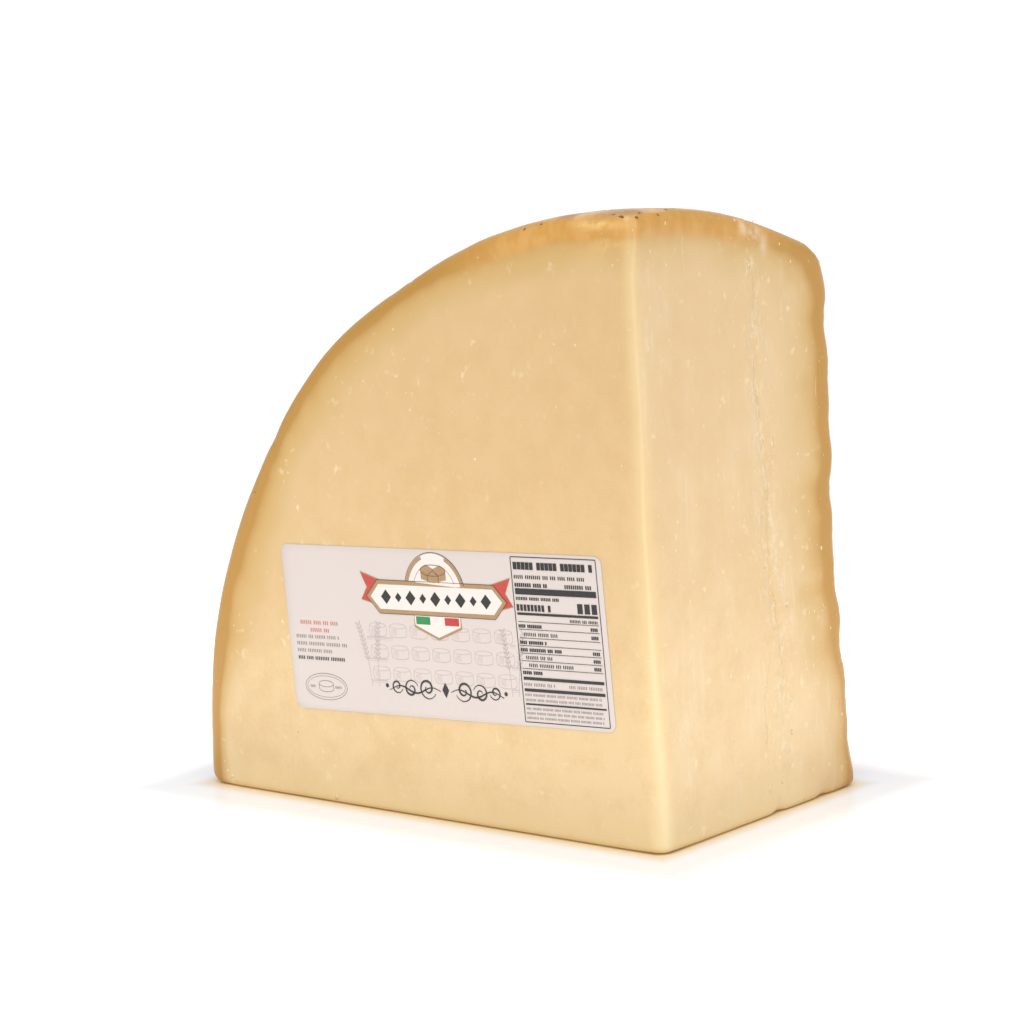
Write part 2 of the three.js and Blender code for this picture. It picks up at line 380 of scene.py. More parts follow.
def front_relief(points):
    """The slow waviness of the front, the same all through the piece's depth."""
    flat = points * np.array([1, 0, 1])
    return 0.16 * random_heights(flat, 42, 1) + 0.025 * random_heights(flat, 7, 2)


def crumbs_near_crack(points):
    """1 along the crack's lips and 0 away from them, wider towards the foot."""
    y, down = crack_place(points[:, 2])
    width = 3.5 + 4.5 * smooth(down)
    ends = smooth((1.04 - down) / 0.06) * smooth((down + 0.06) / 0.1)
    return bell(points[:, 1] - y, width) * ends


def branch_place(z):
    """Where the crack's lower branch lies across the side, and 1 where there is one."""
    low = np.clip((BRANCH["top"] - z) / (BRANCH["top"] - BRANCH["foot"]), 0, 1)
    place = BRANCH["y_top"] + (BRANCH["y_foot"] - BRANCH["y_top"]) * smooth(low * 2)
    return place, np.sin(np.pi * low).clip(0)


def side_relief(points):
    """Drag marks, crumbs that partly fill the crack and line its lips, and the flake by the rind."""
    x, y, z = points.T
    drag = 0.05 * random_heights(points * np.array([0, 1, 0.045]), 2.4, 3)
    slow = 0.1 * random_heights(points * np.array([0, 1, 0.5]), 16, 4)
    grain = random_heights(points, 1.7, 5)
    crack_y, down = crack_place(z)
    crumbled = CRACK_FILL * bell(y - crack_y, CRACK["width"]) * ((down > 0) & (down < 1))
    lips = crumbs_near_crack(points) * (0.2 * grain + 0.12 * random_heights(points, 0.9, 8))
    radius = np.hypot((y - FLAKE["y"]) / FLAKE["wide"], (z - FLAKE["z"]) / FLAKE["high"])
    ragged = radius + 0.3 * random_heights(points, 4, 9)
    flake = FLAKE["lift"] * smooth((1 - ragged) * 4) * (0.5 + 0.5 * random_heights(points, 2.2, 10))
    return drag + slow + crumbled + lips + flake


def heel_relief(points):
    """The uneven skin of the heel, with shallow scuffs and small pits."""
    slow = 0.22 * random_heights(points, 26, 12) + 0.1 * random_heights(points, 9, 13)
    pits = smooth((random_heights(points, 3.1, 14) - 0.62) * 6)
    return slow + 0.04 * random_heights(points, 2.6, 15) - 0.3 * pits


def back_relief(points):
    """The back's cloth-pressed unevenness and the notches where it meets the side."""
    x, y, z = points.T
    height = 0.12 * random_heights(points * np.array([0.45, 0, 1]), 7, 16)
    height += 0.07 * random_heights(points, 3.0, 17)
    jags = random_heights(points * np.array([0.3, 0, 1]), JAGS["spacing"], 18)
    height += JAGS["height"] * jags * bell(x, 14)
    for notch in NOTCHES:
        line = z + NOTCH["lean"] * x - notch
        height -= NOTCH["depth"] * bell(line, NOTCH["half_height"]) * bell(x, NOTCH["reach"])
    return height


def relief(points, normals):
    """How far each point stands above the plain form, from the face that it looks out of."""
    square = normals**2
    side = square[:, 0] * (normals[:, 0] > 0)
    front = square[:, 1] * (normals[:, 1] < 0)
    back = square[:, 1] * (normals[:, 1] > 0)
    base = square[:, 2] * (normals[:, 2] < 0)
    heel = 1 - side - front - back - base
    height = front * front_relief(points) + side * side_relief(points)
    return height + heel * heel_relief(points) + back * back_relief(points)


# %% [markdown]
# The mesh of the cheese is a stack of rings, each the outline of the piece at one place from
# front to back, with more rings drawn in over the front and over the back until they close on a
# point. Rings and points lie close together where the surface turns or breaks up, at the edges
# and round the crack, and further apart on the plain parts. A remesh of the solid would spend its
# points evenly and still miss the crack.

# %% Rings of points
EDGE_STEPS = (0, 0.5, 1.1, 1.8, 2.6, 3.5, 4.6, 5.9, 7.4, 9.2)
AROUND_STEP = {"base": 6.0, "heel": 2.3, "side": 0.95}
DEPTH_STEP = {"plain": 1.5, "crack": 0.62}
CRACK_BAND = (53, 71)
FRONT_WEB = 16
BACK_WEB = 34


def between(start, end, step):
    """Evenly spaced places from the start to the end, without the end."""
    count = max(1, round((end - start) / step))
    return [start + (end - start) * i / count for i in range(count)]


def along_edge(length, step):
    """Shares of the way along one stretch of the outline, closer together at its ends."""
    inner = between(EDGE_STEPS[-1], length - EDGE_STEPS[-1], step)[1:]
    ends = [length - step for step in reversed(EDGE_STEPS[1:])]
    return np.array([*EDGE_STEPS, *inner, *ends]) / length


ALONG = {
    "base": along_edge(WHEEL_RADIUS, AROUND_STEP["base"]),
    "heel": along_edge(WHEEL_RADIUS * math.pi / 2, AROUND_STEP["heel"]),
    "side": along_edge(WHEEL_RADIUS, AROUND_STEP["side"]),
}


def heel_points(y, inset, shares):
    """Points along the heel from the foot to the top, drawn in by the inset."""
    lowest = math.asin(inset / (float(heel_radius(np.array([y]), np.array([0.0]))[0]) - inset))
    angle = lowest + (math.pi / 2 - 2 * lowest) * shares
    radius = heel_radius(np.full(len(shares), y), np.degrees(angle)) - inset
    return np.stack([-radius * np.cos(angle), np.full(len(shares), y), radius * np.sin(angle)], axis=1)


def outline(y, inset):
    """The sharp-edged outline at one place from front to back, drawn in by the inset."""
    axis = np.array([-inset, y, inset])
    foot, top = heel_points(y, inset, np.array([0.0, 1.0]))
    base = axis + (foot - axis) * ALONG["base"][:, None]
    side = top + (axis - top) * ALONG["side"][:, None]
    return np.concatenate([base, heel_points(y, inset, ALONG["heel"]), side])


def depth_places():
    """Places from front to back, close together at both ends and over the crack."""
    first, last = EDGE_STEPS[-1], HALF_HEIGHT - EDGE_STEPS[-1]
    inner = between(first, CRACK_BAND[0], DEPTH_STEP["plain"])[1:]
    inner += between(*CRACK_BAND, DEPTH_STEP["crack"])
    inner += between(CRACK_BAND[1], last, DEPTH_STEP["plain"])
    return [*EDGE_STEPS, *inner, *[HALF_HEIGHT - step for step in reversed(EDGE_STEPS)]]


def web(ring, middle, count):
    """Rings that close in from a ring towards its middle, without the ring itself."""
    return [ring + (middle - ring) * i / count for i in range(1, count)]


front_middle = MIDDLE * np.array([1, 0, 1])
back_middle = front_middle + np.array([0, HALF_HEIGHT, 0])
front_rings = [outline(0.0, inset) for inset in EDGE_STEPS[1:]]
back_rings = [outline(HALF_HEIGHT, inset) for inset in EDGE_STEPS[1:]]
rings = [
    *reversed(web(front_rings[-1], front_middle, FRONT_WEB)),
    *reversed(front_rings),
    *[outline(y, 0.0) for y in depth_places()],
    *back_rings,
    *web(back_rings[-1], back_middle, BACK_WEB),
]
print(len(rings), "rings of", len(rings[0]), "points")

# %% [markdown]
# Neighbouring rings are joined by four-sided faces, and the two open ends by a fan of triangles
# round a middle point. The points are first set on the smooth form. The mesh then knows its own
# normals, and each point is pushed out along its normal by the fine relief.
# The depth of each point behind the rind is kept on the mesh as an attribute. The material will
# read it, because the colour of such cheese follows exactly that depth.

# %% The cheese mesh


def ring_faces(first, count):
    """The faces between two neighbouring rings."""
    here = first + np.arange(count)
    there = first + (np.arange(count) + 1) % count
    return np.stack([here, there, there + count, here + count], axis=1).tolist()


def closing_faces(first, count, middle, flip):
    """The fan between the last ring and its middle point."""
    here = first + np.arange(count)
    there = first + (np.arange(count) + 1) % count
    pair = (there, here) if flip else (here, there)
    return np.stack([*pair, np.full(count, middle)], axis=1).tolist()


def mesh_object(name, points, faces):
    """A new smooth object from points of the wheel's frame."""
    mesh = bpy.data.meshes.new(name)
    mesh.from_pydata(in_scene(points).tolist(), [], faces)
    mesh.update()
    mesh.shade_smooth()
    made = bpy.data.objects.new(name, mesh)
    bpy.context.scene.collection.objects.link(made)
    return made


def point_normals(made):
    """The mesh's own normals, one for each point."""
    values = np.zeros(3 * len(made.data.vertices), np.float32)
    made.data.vertex_normals.foreach_get("vector", values)
    return values.reshape(-1, 3).astype(float)


def set_points(made, points):
    """Moves all points of an object, given in the wheel's frame."""
    made.data.vertices.foreach_set("co", in_scene(points).astype(np.float32).ravel())
    made.data.update()


def set_attribute(made, name, values):
    """Keeps one number for each point on the mesh."""
    attribute = made.data.attributes.new(name, "FLOAT", "POINT")
    attribute.data.foreach_set("value", np.asarray(values, np.float32))


ring_size = len(rings[0])
sharp = np.concatenate([*rings, front_middle[None], back_middle[None]])
faces = [face for i in range(len(rings) - 1) for face in ring_faces(i * ring_size, ring_size)]
faces += closing_faces(0, ring_size, len(sharp) - 2, True)
faces += closing_faces((len(rings) - 1) * ring_size, ring_size, len(sharp) - 1, False)
plain = finished(sharp)
cheese = mesh_object("aged_cheese", plain, faces)
normals = point_normals(cheese)
surface = plain + normals * relief(plain, normals)[:, None]
surface[:, 2] = np.maximum(surface[:, 2], 0)
set_points(cheese, surface)
print("the cheese has", len(surface), "points and", len(faces), "faces")

# %% [markdown]
# The colour of a cut face darkens towards the rind, where the cheese dried out most: straw, then
# amber in the last centimetre. The band isn't equally wide everywhere. It is broad at the top,
# thinner down the arc and low on the back, and it ends more sharply towards the left foot.
# The attribute is therefore the depth counted in widths of the band. Further attributes mark the outer
# skin, the upright edge and a thin line along it, where a highlight is painted for the gloss and for the
# light that the thin cheese lets through, the golden top, the foot, where the paste is painted paler for
# light thrown up from the table, the crack with its crumbs, and the patches of milky film and painted
# highlights.

# %% Depth behind the rind
BAND_WIDTH = {0: 7.2, 8: 7.6, 17: 11.2, 31: 8.6, 49: 7.6, 64: 7.0, 80: 8.8, 90: 9.3}
BAND_SHARPNESS = {0: 3.0, 8: 2.6, 17: 1.25, 31: 1.0}
GOLDEN_FROM = (64, 78)
GOLDEN_SIDE = 0.75
BACK_BAND = {"low": 8.0, "high": 13.6, "from": 30, "to": 75}
SKIN_DEPTH = 0.9
SKIN_OVER_TOP = 1.9
# Painted highlight on the upright edge: how wide it is, and where its thin bright line runs.
EDGE_HIGHLIGHT_WIDTH = {"foot": 3.6, "top": 2.3}
EDGE_ARC = 0.8
EDGE_HIGHLIGHT_LINE_PLACE = {
    0: 1.4,
    25: 1.2,
    60: 0.4,
    105: -0.4,
    140: 0.6,
    165: 0.2,
    185: 0.4,
    195: 1.8,
    203: 2.6,
}
EDGE_HIGHLIGHT_LINE_WIDTH = {"top": 0.6, "more": 1.7}
CRACK_VIEW = 12
FOOT_HEIGHT = 16
# Painted highlights: glossy spots on the front's top, and milky bunched film with painted highlights on the
# side.
FILM_PATCHES_AND_GLINTS = (
    {"at": (-13.0, 0, 201.1), "reach": (9.5, 5, 1.2), "strength": 0.95},
    {"at": (-9.5, 0, 195.2), "reach": (7, 5, 0.9), "strength": 0.45},
    {"at": (0, 56.8, 194.0), "reach": (5, 2.0, 3.4), "strength": 0.9},
    {"at": (0, 62.5, 191.6), "reach": (5, 4.2, 2.2), "strength": 0.9},
    {"at": (0, 66.5, 187.5), "reach": (5, 2.2, 4.0), "strength": 0.8},
)


def by_angle(points, table):
    """A value looked up by the angle round the wheel, from the base up."""
    degrees = np.degrees(np.arctan2(points[:, 2], -points[:, 0]))
    return np.interp(degrees, list(table), list(table.values()))


def band_shares(points):
    """Depth behind the nearer rind, in widths of the dark band."""
    x, y, z = points.T
    depths = face_depths(points)
    rise = smooth((z - BACK_BAND["from"]) / (BACK_BAND["to"] - BACK_BAND["from"]))
    back_band = BACK_BAND["low"] + (BACK_BAND["high"] - BACK_BAND["low"]) * rise
    heel = np.maximum(depths["heel"], 0) / by_angle(points, BAND_WIDTH)
    heel = heel ** by_angle(points, BAND_SHARPNESS)
    back = np.maximum(back_place(x, z) - y, 0) / back_band
    unevenness = 1 + 0.14 * random_heights(points, 17, 21) + 0.09 * random_heights(points, 5, 22)
    nearer = -np.log(np.exp(-3 * heel) + np.exp(-3 * back)) / 3
    return np.maximum(nearer, 0) * unevenness


def over_upright_edge(points):
    """Millimetres over the round upright edge, from where the front begins to turn."""
    return EDGE_ARC * (points[:, 0] + up_the_edge(points, UPRIGHT_EDGE) + points[:, 1])


def edge_highlight_shares(points):
    """Where the highlight is painted: 1 on the upright edge, fading over two or three millimetres on both
    sides.
    """
    middle = EDGE_ARC * up_the_edge(points, UPRIGHT_EDGE)
    return bell(over_upright_edge(points) - middle, up_the_edge(points, EDGE_HIGHLIGHT_WIDTH))


def edge_highlight_line_shares(points):
    """Where the thin highlight line is painted: 1 on it along the upright edge, wider towards its foot."""
    height = points[:, 2]
    middle = EDGE_ARC * up_the_edge(points, UPRIGHT_EDGE)
    place = middle + np.interp(height, list(EDGE_HIGHLIGHT_LINE_PLACE), list(EDGE_HIGHLIGHT_LINE_PLACE.values()))
    width = EDGE_HIGHLIGHT_LINE_WIDTH["top"] + EDGE_HIGHLIGHT_LINE_WIDTH["more"] * smooth((95 - height) / 80)
    return bell(over_upright_edge(points) - place, width)


def film_patch_and_glint_shares(points):
    """1 in the middle of each patch: a painted highlight on the front's top, and milky bunched film with a
    painted highlight on the side.
    """
    shares = np.zeros(len(points))
    for patch in FILM_PATCHES_AND_GLINTS:
        off = (points - np.array(patch["at"])) / np.array(patch["reach"])
        shares = np.maximum(shares, patch["strength"] * np.exp(-(off**2).sum(axis=1)))
    return shares


depths = face_depths(plain)
to_skin = np.minimum(depths["heel"], back_place(plain[:, 0], plain[:, 2]) - plain[:, 1])
set_attribute(cheese, "band", band_shares(plain))
front_share = np.clip(-normals[:, 1], 0, 1)
on_side = np.clip(normals[:, 0], 0, 1)
turn = np.degrees(np.arctan2(plain[:, 2], -plain[:, 0]))
golden = smooth((turn - GOLDEN_FROM[0]) / (GOLDEN_FROM[1] - GOLDEN_FROM[0]))
golden *= front_share + GOLDEN_SIDE * on_side * smooth((plain[:, 2] - 182) / 12)
set_attribute(cheese, "golden", golden)
over_top = smooth((turn - 78) / 7) * smooth((26 - plain[:, 1]) / 14)
skin_depth = SKIN_DEPTH + SKIN_OVER_TOP * over_top * (depths["side"] > 1.5)
set_attribute(cheese, "skin", 1 - smooth(to_skin / skin_depth))
# Painted highlight: where the upright edge and its thin bright line are painted lighter.
set_attribute(cheese, "edge_highlight", edge_highlight_shares(plain))
set_attribute(cheese, "edge_highlight_line", edge_highlight_line_shares(plain))
set_attribute(cheese, "low", smooth((140 - plain[:, 2]) / 120))
set_attribute(cheese, "side_face", on_side**2)
# Painted light: the foot is painted paler, for light thrown up from the table.
foot_light_share = smooth((FOOT_HEIGHT - plain[:, 2]) / FOOT_HEIGHT)
set_attribute(cheese, "foot", foot_light_share * (front_share + on_side))
set_attribute(cheese, "film_patch_and_glint", film_patch_and_glint_shares(plain))
from_heel = WHEEL_RADIUS - np.hypot(plain[:, 0], plain[:, 2])
speckled = 0.3 + 0.7 * bell(from_heel - 26, 26) * smooth(-plain[:, 0] / 80)
speckled += 0.5 * on_side + 0.3 * smooth((45 - plain[:, 2]) / 30)
set_attribute(cheese, "speckled", np.clip(speckled, 0, 1))
crack_y, down = crack_place(plain[:, 2])
branch_y, branch_here = branch_place(plain[:, 2])
set_attribute(cheese, "across_crack", np.clip(plain[:, 1] - crack_y, -CRACK_VIEW, CRACK_VIEW))
set_attribute(cheese, "crack_here", smooth(down * 8) * smooth((1.03 - down) * 12) * on_side)
set_attribute(cheese, "across_branch", np.clip(plain[:, 1] - branch_y, -CRACK_VIEW, CRACK_VIEW))
set_attribute(cheese, "branch_here", branch_here * on_side)
set_attribute(cheese, "crumbs", crumbs_near_crack(plain) * on_side)
print("the band is up to", max(BAND_WIDTH.values()), "mm wide")

# %% [markdown]
# Materials are networks of nodes. Two small helpers keep them readable. A Value wraps one output
# of a node and takes part in ordinary sums, so 1 - mask adds the Math node that works it out. A
# Finish is one material, and its add method makes any other node: first its settings, then the
# numbers or Values of its inputs.

# %% Helpers for materials


class Value:
    """One output of a node, which can take part in sums."""

    def __init__(self, finish, socket):
        self.finish = finish
        self.socket = socket

    def math(self, operation, first, second):
        return self.finish.add("Math", {"operation": operation}, {0: first, 1: second})

    def __add__(self, other):
        return self.math("ADD", self, other)

    def __sub__(self, other):
        return self.math("SUBTRACT", self, other)

    def __rsub__(self, other):
        return self.math("SUBTRACT", other, self)

    def __mul__(self, other):
        return self.math("MULTIPLY", self, other)

    __radd__ = __add__
    __rmul__ = __mul__


class Finish:
    """One material and the single way of adding nodes to it."""

    def __init__(self, name):
        self.material = bpy.data.materials.new(name)
        self.material.use_nodes = True
        self.material.node_tree.nodes.clear()

    def add(self, kind, settings=None, inputs=None, output=0):
        node = self.material.node_tree.nodes.new("ShaderNode" + kind)
        for name, value in (settings or {}).items():
            if name == "stops":
                set_stops(node.color_ramp, value)
            else:
                setattr(node, name, value)
        for name, value in (inputs or {}).items():
            if isinstance(value, Value):
                self.material.node_tree.links.new(value.socket, node.inputs[name])
            else:
                node.inputs[name].default_value = value
        return Value(self, node.outputs[output]) if node.outputs else None

    def place(self):
        return self.add("TexCoord", output="Object")

    def attribute(self, name):
        return self.add("Attribute", {"attribute_name": name}, output="Fac")

    def noise(self, size_mm, detail=2.0, stretch=None):
        where = self.place()
        if stretch:
            settings = {"operation": "MULTIPLY"}
            where = self.add("VectorMath", settings, {0: where, 1: stretch})
        settings = {"noise_dimensions": "3D"}
        inputs = {"Vector": where, "Scale": 1000 / size_mm, "Detail": detail, "Roughness": 0.55}
        return self.add("TexNoise", settings, inputs)

    def between(self, value, low, high):
        settings = {"interpolation_type": "SMOOTHSTEP"}
        inputs = {"Value": value, "From Min": low, "From Max": high}
        return self.add("MapRange", settings, inputs)

    def mix(self, share, first, second, blend="MIX"):
        settings = {"data_type": "RGBA", "blend_type": blend}
        return self.add("Mix", settings, {0: share, 6: first, 7: second}, output=2)

    def bump(self, height, distance_mm, strength=1.0, below=None):
        inputs = {"Height": height, "Distance": distance_mm * MM, "Strength": strength}
        if below:
            inputs["Normal"] = below
        return self.add("Bump", None, inputs)

    def surface(self, **inputs):
        named = {name.replace("_", " "): value for name, value in inputs.items()}
        shader = self.add("BsdfPrincipled", None, named)
        self.add("OutputMaterial", None, {"Surface": shader})
        return self.material


def set_stops(ramp, stops):
    """Sets a colour ramp to pairs of a place and a colour."""
    while len(ramp.elements) > 1:
        ramp.elements.remove(ramp.elements[-1])
    for i, (place, colour) in enumerate(stops):
        element = ramp.elements[0] if i == 0 else ramp.elements.new(place)
        element.position = place
        element.color = colour


def tint(red, green, blue):
    """A screen colour from 0 to 255 as the light that the shader works with."""
    parts = [value / 255 for value in (red, green, blue)]
    light = [v / 12.92 if v <= 0.04045 else ((v + 0.055) / 1.055) ** 2.4 for v in parts]
    return (*light, 1)


# %% [markdown]
# The cheese itself. Hard cheese is dense but lets some light in, so part of its colour comes from
# light that went a few millimetres through it: subsurface scattering, which also lights up the
# thin upright edge. Over it lies clear film, which is a thin coat of gloss.
# The colour is built in steps: straw with soft mottling, painted paler towards the bottom and at the foot
# for light thrown up from the table, a ramp from amber to straw by depth behind the rind, golden at the
# top, and the brown skin outside, whose light patches are partly a painted sheen of the film. A painted
# highlight on the upright edge, the broken line of the crack with painted shade in it, and the milky haze
# of the film on the side with a painted sheen follow, with painted highlights on a few patches. Then come
# specks of white crystals and a few dark specks of painted shade for small pits. Larger crystals stand out
# of the cut, so they are meshes further down, and the specks here only fill in the finest ones.

# %% Cheese material
STRAW = tint(219, 185, 132)
DARK_STRAW = tint(211, 174, 118)
# Painted light: paler straw towards the bottom and at the foot stands for light thrown up from the table.
STRAW_LIT_FROM_BELOW = tint(226, 196, 145)
FOOT_STRAW_LIT_FROM_TABLE = tint(241, 215, 160)
BAND_REACH = 2.4
BAND_STOPS = (
    (0.0, tint(185, 137, 54)),
    (0.28, tint(185, 136, 50)),
    (0.35, tint(197, 153, 79)),
    (0.42, tint(203, 162, 94)),
    (0.55, tint(208, 170, 104)),
    (0.75, tint(211, 176, 116)),
    (1.0, tint(217, 183, 128)),
)
GOLDEN = tint(208, 152, 66)
GOLDEN_STREAK = tint(217, 164, 84)
# The skin's light tone is partly a painted sheen of the film.
SKIN_LIGHT_AND_SHEEN = tint(220, 186, 150)
SKIN_DARK = tint(172, 134, 94)
SKIN_MARK = tint(90, 58, 36)
CRYSTAL_WHITE = tint(240, 220, 178)
# Painted shade of small pits.
PIT_SHADE_BROWN = tint(140, 98, 56)
# Painted highlight colours for the upright edge and its thin line.
EDGE_HIGHLIGHT = tint(232, 210, 154)
EDGE_HIGHLIGHT_LINE = tint(243, 224, 178)
# Milky film with a painted sheen on the side.
FILM_HAZE_AND_SHEEN = tint(235, 216, 184)
# Painted highlight colour on the front, milky film with painted highlight on the side.
PATCH_FRONT_GLINT = tint(240, 203, 130)
PATCH_SIDE_MILK_AND_GLINT = tint(226, 200, 164)
# Painted shade in the crack.
CRACK_SHADE_TAN = tint(190, 150, 98)

paste = Finish("cheese")
band = paste.attribute("band")
skin = paste.attribute("skin")
crumbs = paste.attribute("crumbs")
side_face = paste.attribute("side_face")
cut = 1 - skin
clouds = paste.noise(60, 3.0)
patches = paste.noise(9, 3.0)
grain = paste.noise(1.1, 2.0)
low = paste.attribute("low")
mottling = paste.between(clouds * 0.35 + patches * 0.45 + grain * 0.2, 0.34, 0.62)
# Painted light: the paste is painted paler towards the bottom and at the foot, for light from the table
# below.
lit_from_below = paste.mix(low, STRAW, STRAW_LIT_FROM_BELOW)
mottled = paste.mix((1 - mottling) * 0.55, lit_from_below, DARK_STRAW)
straw = paste.mix(paste.attribute("foot") * 0.6, mottled, FOOT_STRAW_LIT_FROM_TABLE)
ochre = paste.add("ValToRGB", {"stops": BAND_STOPS}, {"Fac": band * (1 / BAND_REACH)})
in_golden = paste.attribute("golden") * (1 - paste.between(band, 0.75, 1.15))
gold_streaks = paste.between(paste.noise(4.5, 4.0, (1.0, 1.0, 0.45)), 0.36, 0.68)
amber = paste.mix(in_golden, ochre, paste.mix(gold_streaks, GOLDEN, GOLDEN_STREAK))
in_band = 1 - paste.between(band, 0.9, 4.5)
flesh = paste.mix(in_band, straw, amber)

# The outer skin has light and dark patches, the light ones partly a painted sheen of the film, and small
# brown marks
scuffs = paste.between(paste.noise(13, 4.0), 0.4, 0.68)
outer = paste.mix(scuffs, SKIN_LIGHT_AND_SHEEN, SKIN_DARK)
marks = paste.between(paste.noise(4.2, 3.0), 0.66, 0.72) * paste.between(paste.noise(24, 1.0), 0.48, 0.6)
marked = paste.mix(marks, outer, SKIN_MARK)
with_skin = paste.mix(skin * 0.9, flesh, marked)


def crack_line(across, here, wander):
    """1 in a thin broken line that wanders about a smooth one."""
    off = paste.attribute(across) + (paste.noise(5.5, 4.0) - 0.5) * wander
    width = 0.2 + 0.5 * paste.noise(4, 2.0)
    line = 1 - paste.add("Math", {"operation": "SMOOTH_MIN"}, {0: off * off * 4, 1: 1.0, 2: 0.3})
    return line * width * paste.attribute(here) * paste.between(paste.noise(14, 3.0), 0.38, 0.55)


# The painted highlight on the upright edge, the crack's line with painted shade, and the haze of the film
# on the side, partly a painted sheen
inside = paste.between(band, 0.5, 1.6)
painted_edge_highlight = paste.attribute("edge_highlight") * (0.12 + 0.26 * inside - 0.04 * low) * cut
with_edge_highlight = paste.mix(painted_edge_highlight, with_skin, EDGE_HIGHLIGHT)
with_highlight_line = paste.mix(paste.attribute("edge_highlight_line") * cut * (0.2 + 0.3 * low), with_edge_highlight, EDGE_HIGHLIGHT_LINE)
# Painted shade: the crack's broken line is painted a darker tan; the same line also drives the crack's
# bump.
cleft = crack_line("across_crack", "crack_here", 4.5)
both_clefts = cleft + crack_line("across_branch", "branch_here", 3.5)
with_crack_shade = paste.mix(both_clefts * 0.6, with_highlight_line, CRACK_SHADE_TAN)
streaks = paste.between(paste.noise(2.0, 3.0, (1.0, 1.0, 0.16)), 0.5, 0.72)
folds = paste.between(paste.noise(16, 3.0, (1.0, 1.0, 0.45)), 0.45, 0.7)
flecks = paste.between(paste.noise(1.7, 2.0, (1.0, 1.0, 0.5)), 0.5, 0.66) * crumbs
# Painted sheen: the film's milky haze on the side is partly a painted sheen, stronger higher up.
haze_and_sheen = side_face * inside * (0.17 - 0.12 * low + 0.26 * streaks * folds + 0.14 * folds + 0.4 * flecks)
with_haze_and_sheen = paste.mix(haze_and_sheen, with_crack_shade, FILM_HAZE_AND_SHEEN)
# Painted highlights on the front's top and milky film with painted highlights on the side.
patches_and_glints = paste.attribute("film_patch_and_glint") * paste.between(paste.noise(3.5, 3.0), 0.2, 0.6)
with_patches_and_glints = paste.mix(patches_and_glints, with_haze_and_sheen, paste.mix(side_face, PATCH_FRONT_GLINT, PATCH_SIDE_MILK_AND_GLINT))


def specks(size_mm, radius, share):
    """Small round spots in a random share of cells of the given size."""
    inputs = {"Vector": paste.place(), "Scale": 1000 / size_mm, "Randomness": 1.0}
    distance = paste.add("TexVoronoi", {"feature": "F1"}, inputs, output="Distance")
    chosen = paste.add("TexVoronoi", {"feature": "F1"}, inputs, output="Color")
    lottery = paste.add("SeparateColor", None, {"Color": chosen}, output=0)
    near = 1 - paste.between(distance, radius * 0.3, radius)
    return near * paste.between(lottery, 1 - share - 0.02, 1 - share)


ragged = paste.between(paste.noise(3.6, 1.5), 0.62, 0.76) * paste.between(paste.noise(13, 2.0), 0.4, 0.6)
fine_crystals = ragged * paste.attribute("speckled") * 0.6 + specks(2.1, 0.3, 0.5) * crumbs * 0.4
with_crystals = paste.mix(fine_crystals * inside, with_patches_and_glints, CRYSTAL_WHITE)
# Dark specks: painted shade of small pits.
pits = specks(19, 0.035, 0.2)
colour = paste.mix(pits * cut * 0.5, with_crystals, PIT_SHADE_BROWN)
fine_bump = paste.bump(paste.noise(1.3, 4.0), 0.03)
crack_bump = paste.bump(1 - both_clefts, 0.35, below=fine_bump)
film_bump = paste.bump(paste.noise(38, 2.0, (1.0, 1.0, 0.5)), 0.2, below=crack_bump)
cheese_material = paste.surface(
    Base_Color=colour,
    Roughness=0.44 + 0.12 * patches + 0.15 * skin,
    Normal=film_bump,
    Subsurface_Weight=0.3,
    Subsurface_Radius=(1.0, 0.62, 0.3),
    Subsurface_Scale=0.0022,
    IOR=1.42,
    Coat_Weight=0.5 - 0.35 * skin,
    Coat_Roughness=0.14,
    Coat_IOR=1.5,
)
cheese.data.materials.append(cheese_material)
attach(cheese, "root")
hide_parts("cheese")
print("the cheese material has", len(cheese_material.node_tree.nodes), "nodes")

# %% [markdown]
# White crystals grow in such cheese as it ages, and every cut shows them: most are half a
# millimetre to a millimetre and a half, thickest along the crack. They are real lumps that catch
# light, so they are meshes: low, uneven flakes, sunk a little into the surface.
# Their places are drawn at random, with more tries kept where the piece shows more of them. A few large
# ones that stand out are listed one by one. The same flakes, drawn out and brown, make the scuffed dark
# marks where the rind meets the front.

# %% Crystals and dark marks
FLAKE_SIDES = 7
FRONT_STRETCH = 1.3
SIDE_STRETCH = 2.4
crystal_draw = random.Random(5)


def front_chance(x, z):
    """How likely a crystal is at a place on the front: likelier near the heel on the left."""
    radius = math.hypot(x, z)
    if radius > WHEEL_RADIUS - 4:
        return 0
    return 0.16 + 0.5 * math.exp(-(((radius - 178) / 24) ** 2)) + 0.2 * (z < 40)


def side_chance(y, z):
    """How likely a crystal is at a place on the side: likelier by the crack and low at the back."""
    crack_y, down = crack_place(np.array([z]))
    by_crack = math.exp(-(((y - float(crack_y[0])) / 9) ** 2))
    low_back = (y > 50) * math.exp(-(((z - 45) / 45) ** 2))
    return min(1.0, 0.14 + 0.75 * by_crack + 0.45 * low_back)


def drawn_places(count, widest, highest, chance):
    """Random places, kept as often as the chance at each says."""
    kept = []
    while len(kept) < count:
        across, up = crystal_draw.uniform(1, widest), crystal_draw.uniform(1, highest)
        if crystal_draw.random() < chance(across, up):
            kept.append((across, up))
    return kept


def crystal_radius():
    """Mostly small, now and then large."""
    return 0.24 + 0.62 * crystal_draw.random() ** 3.2


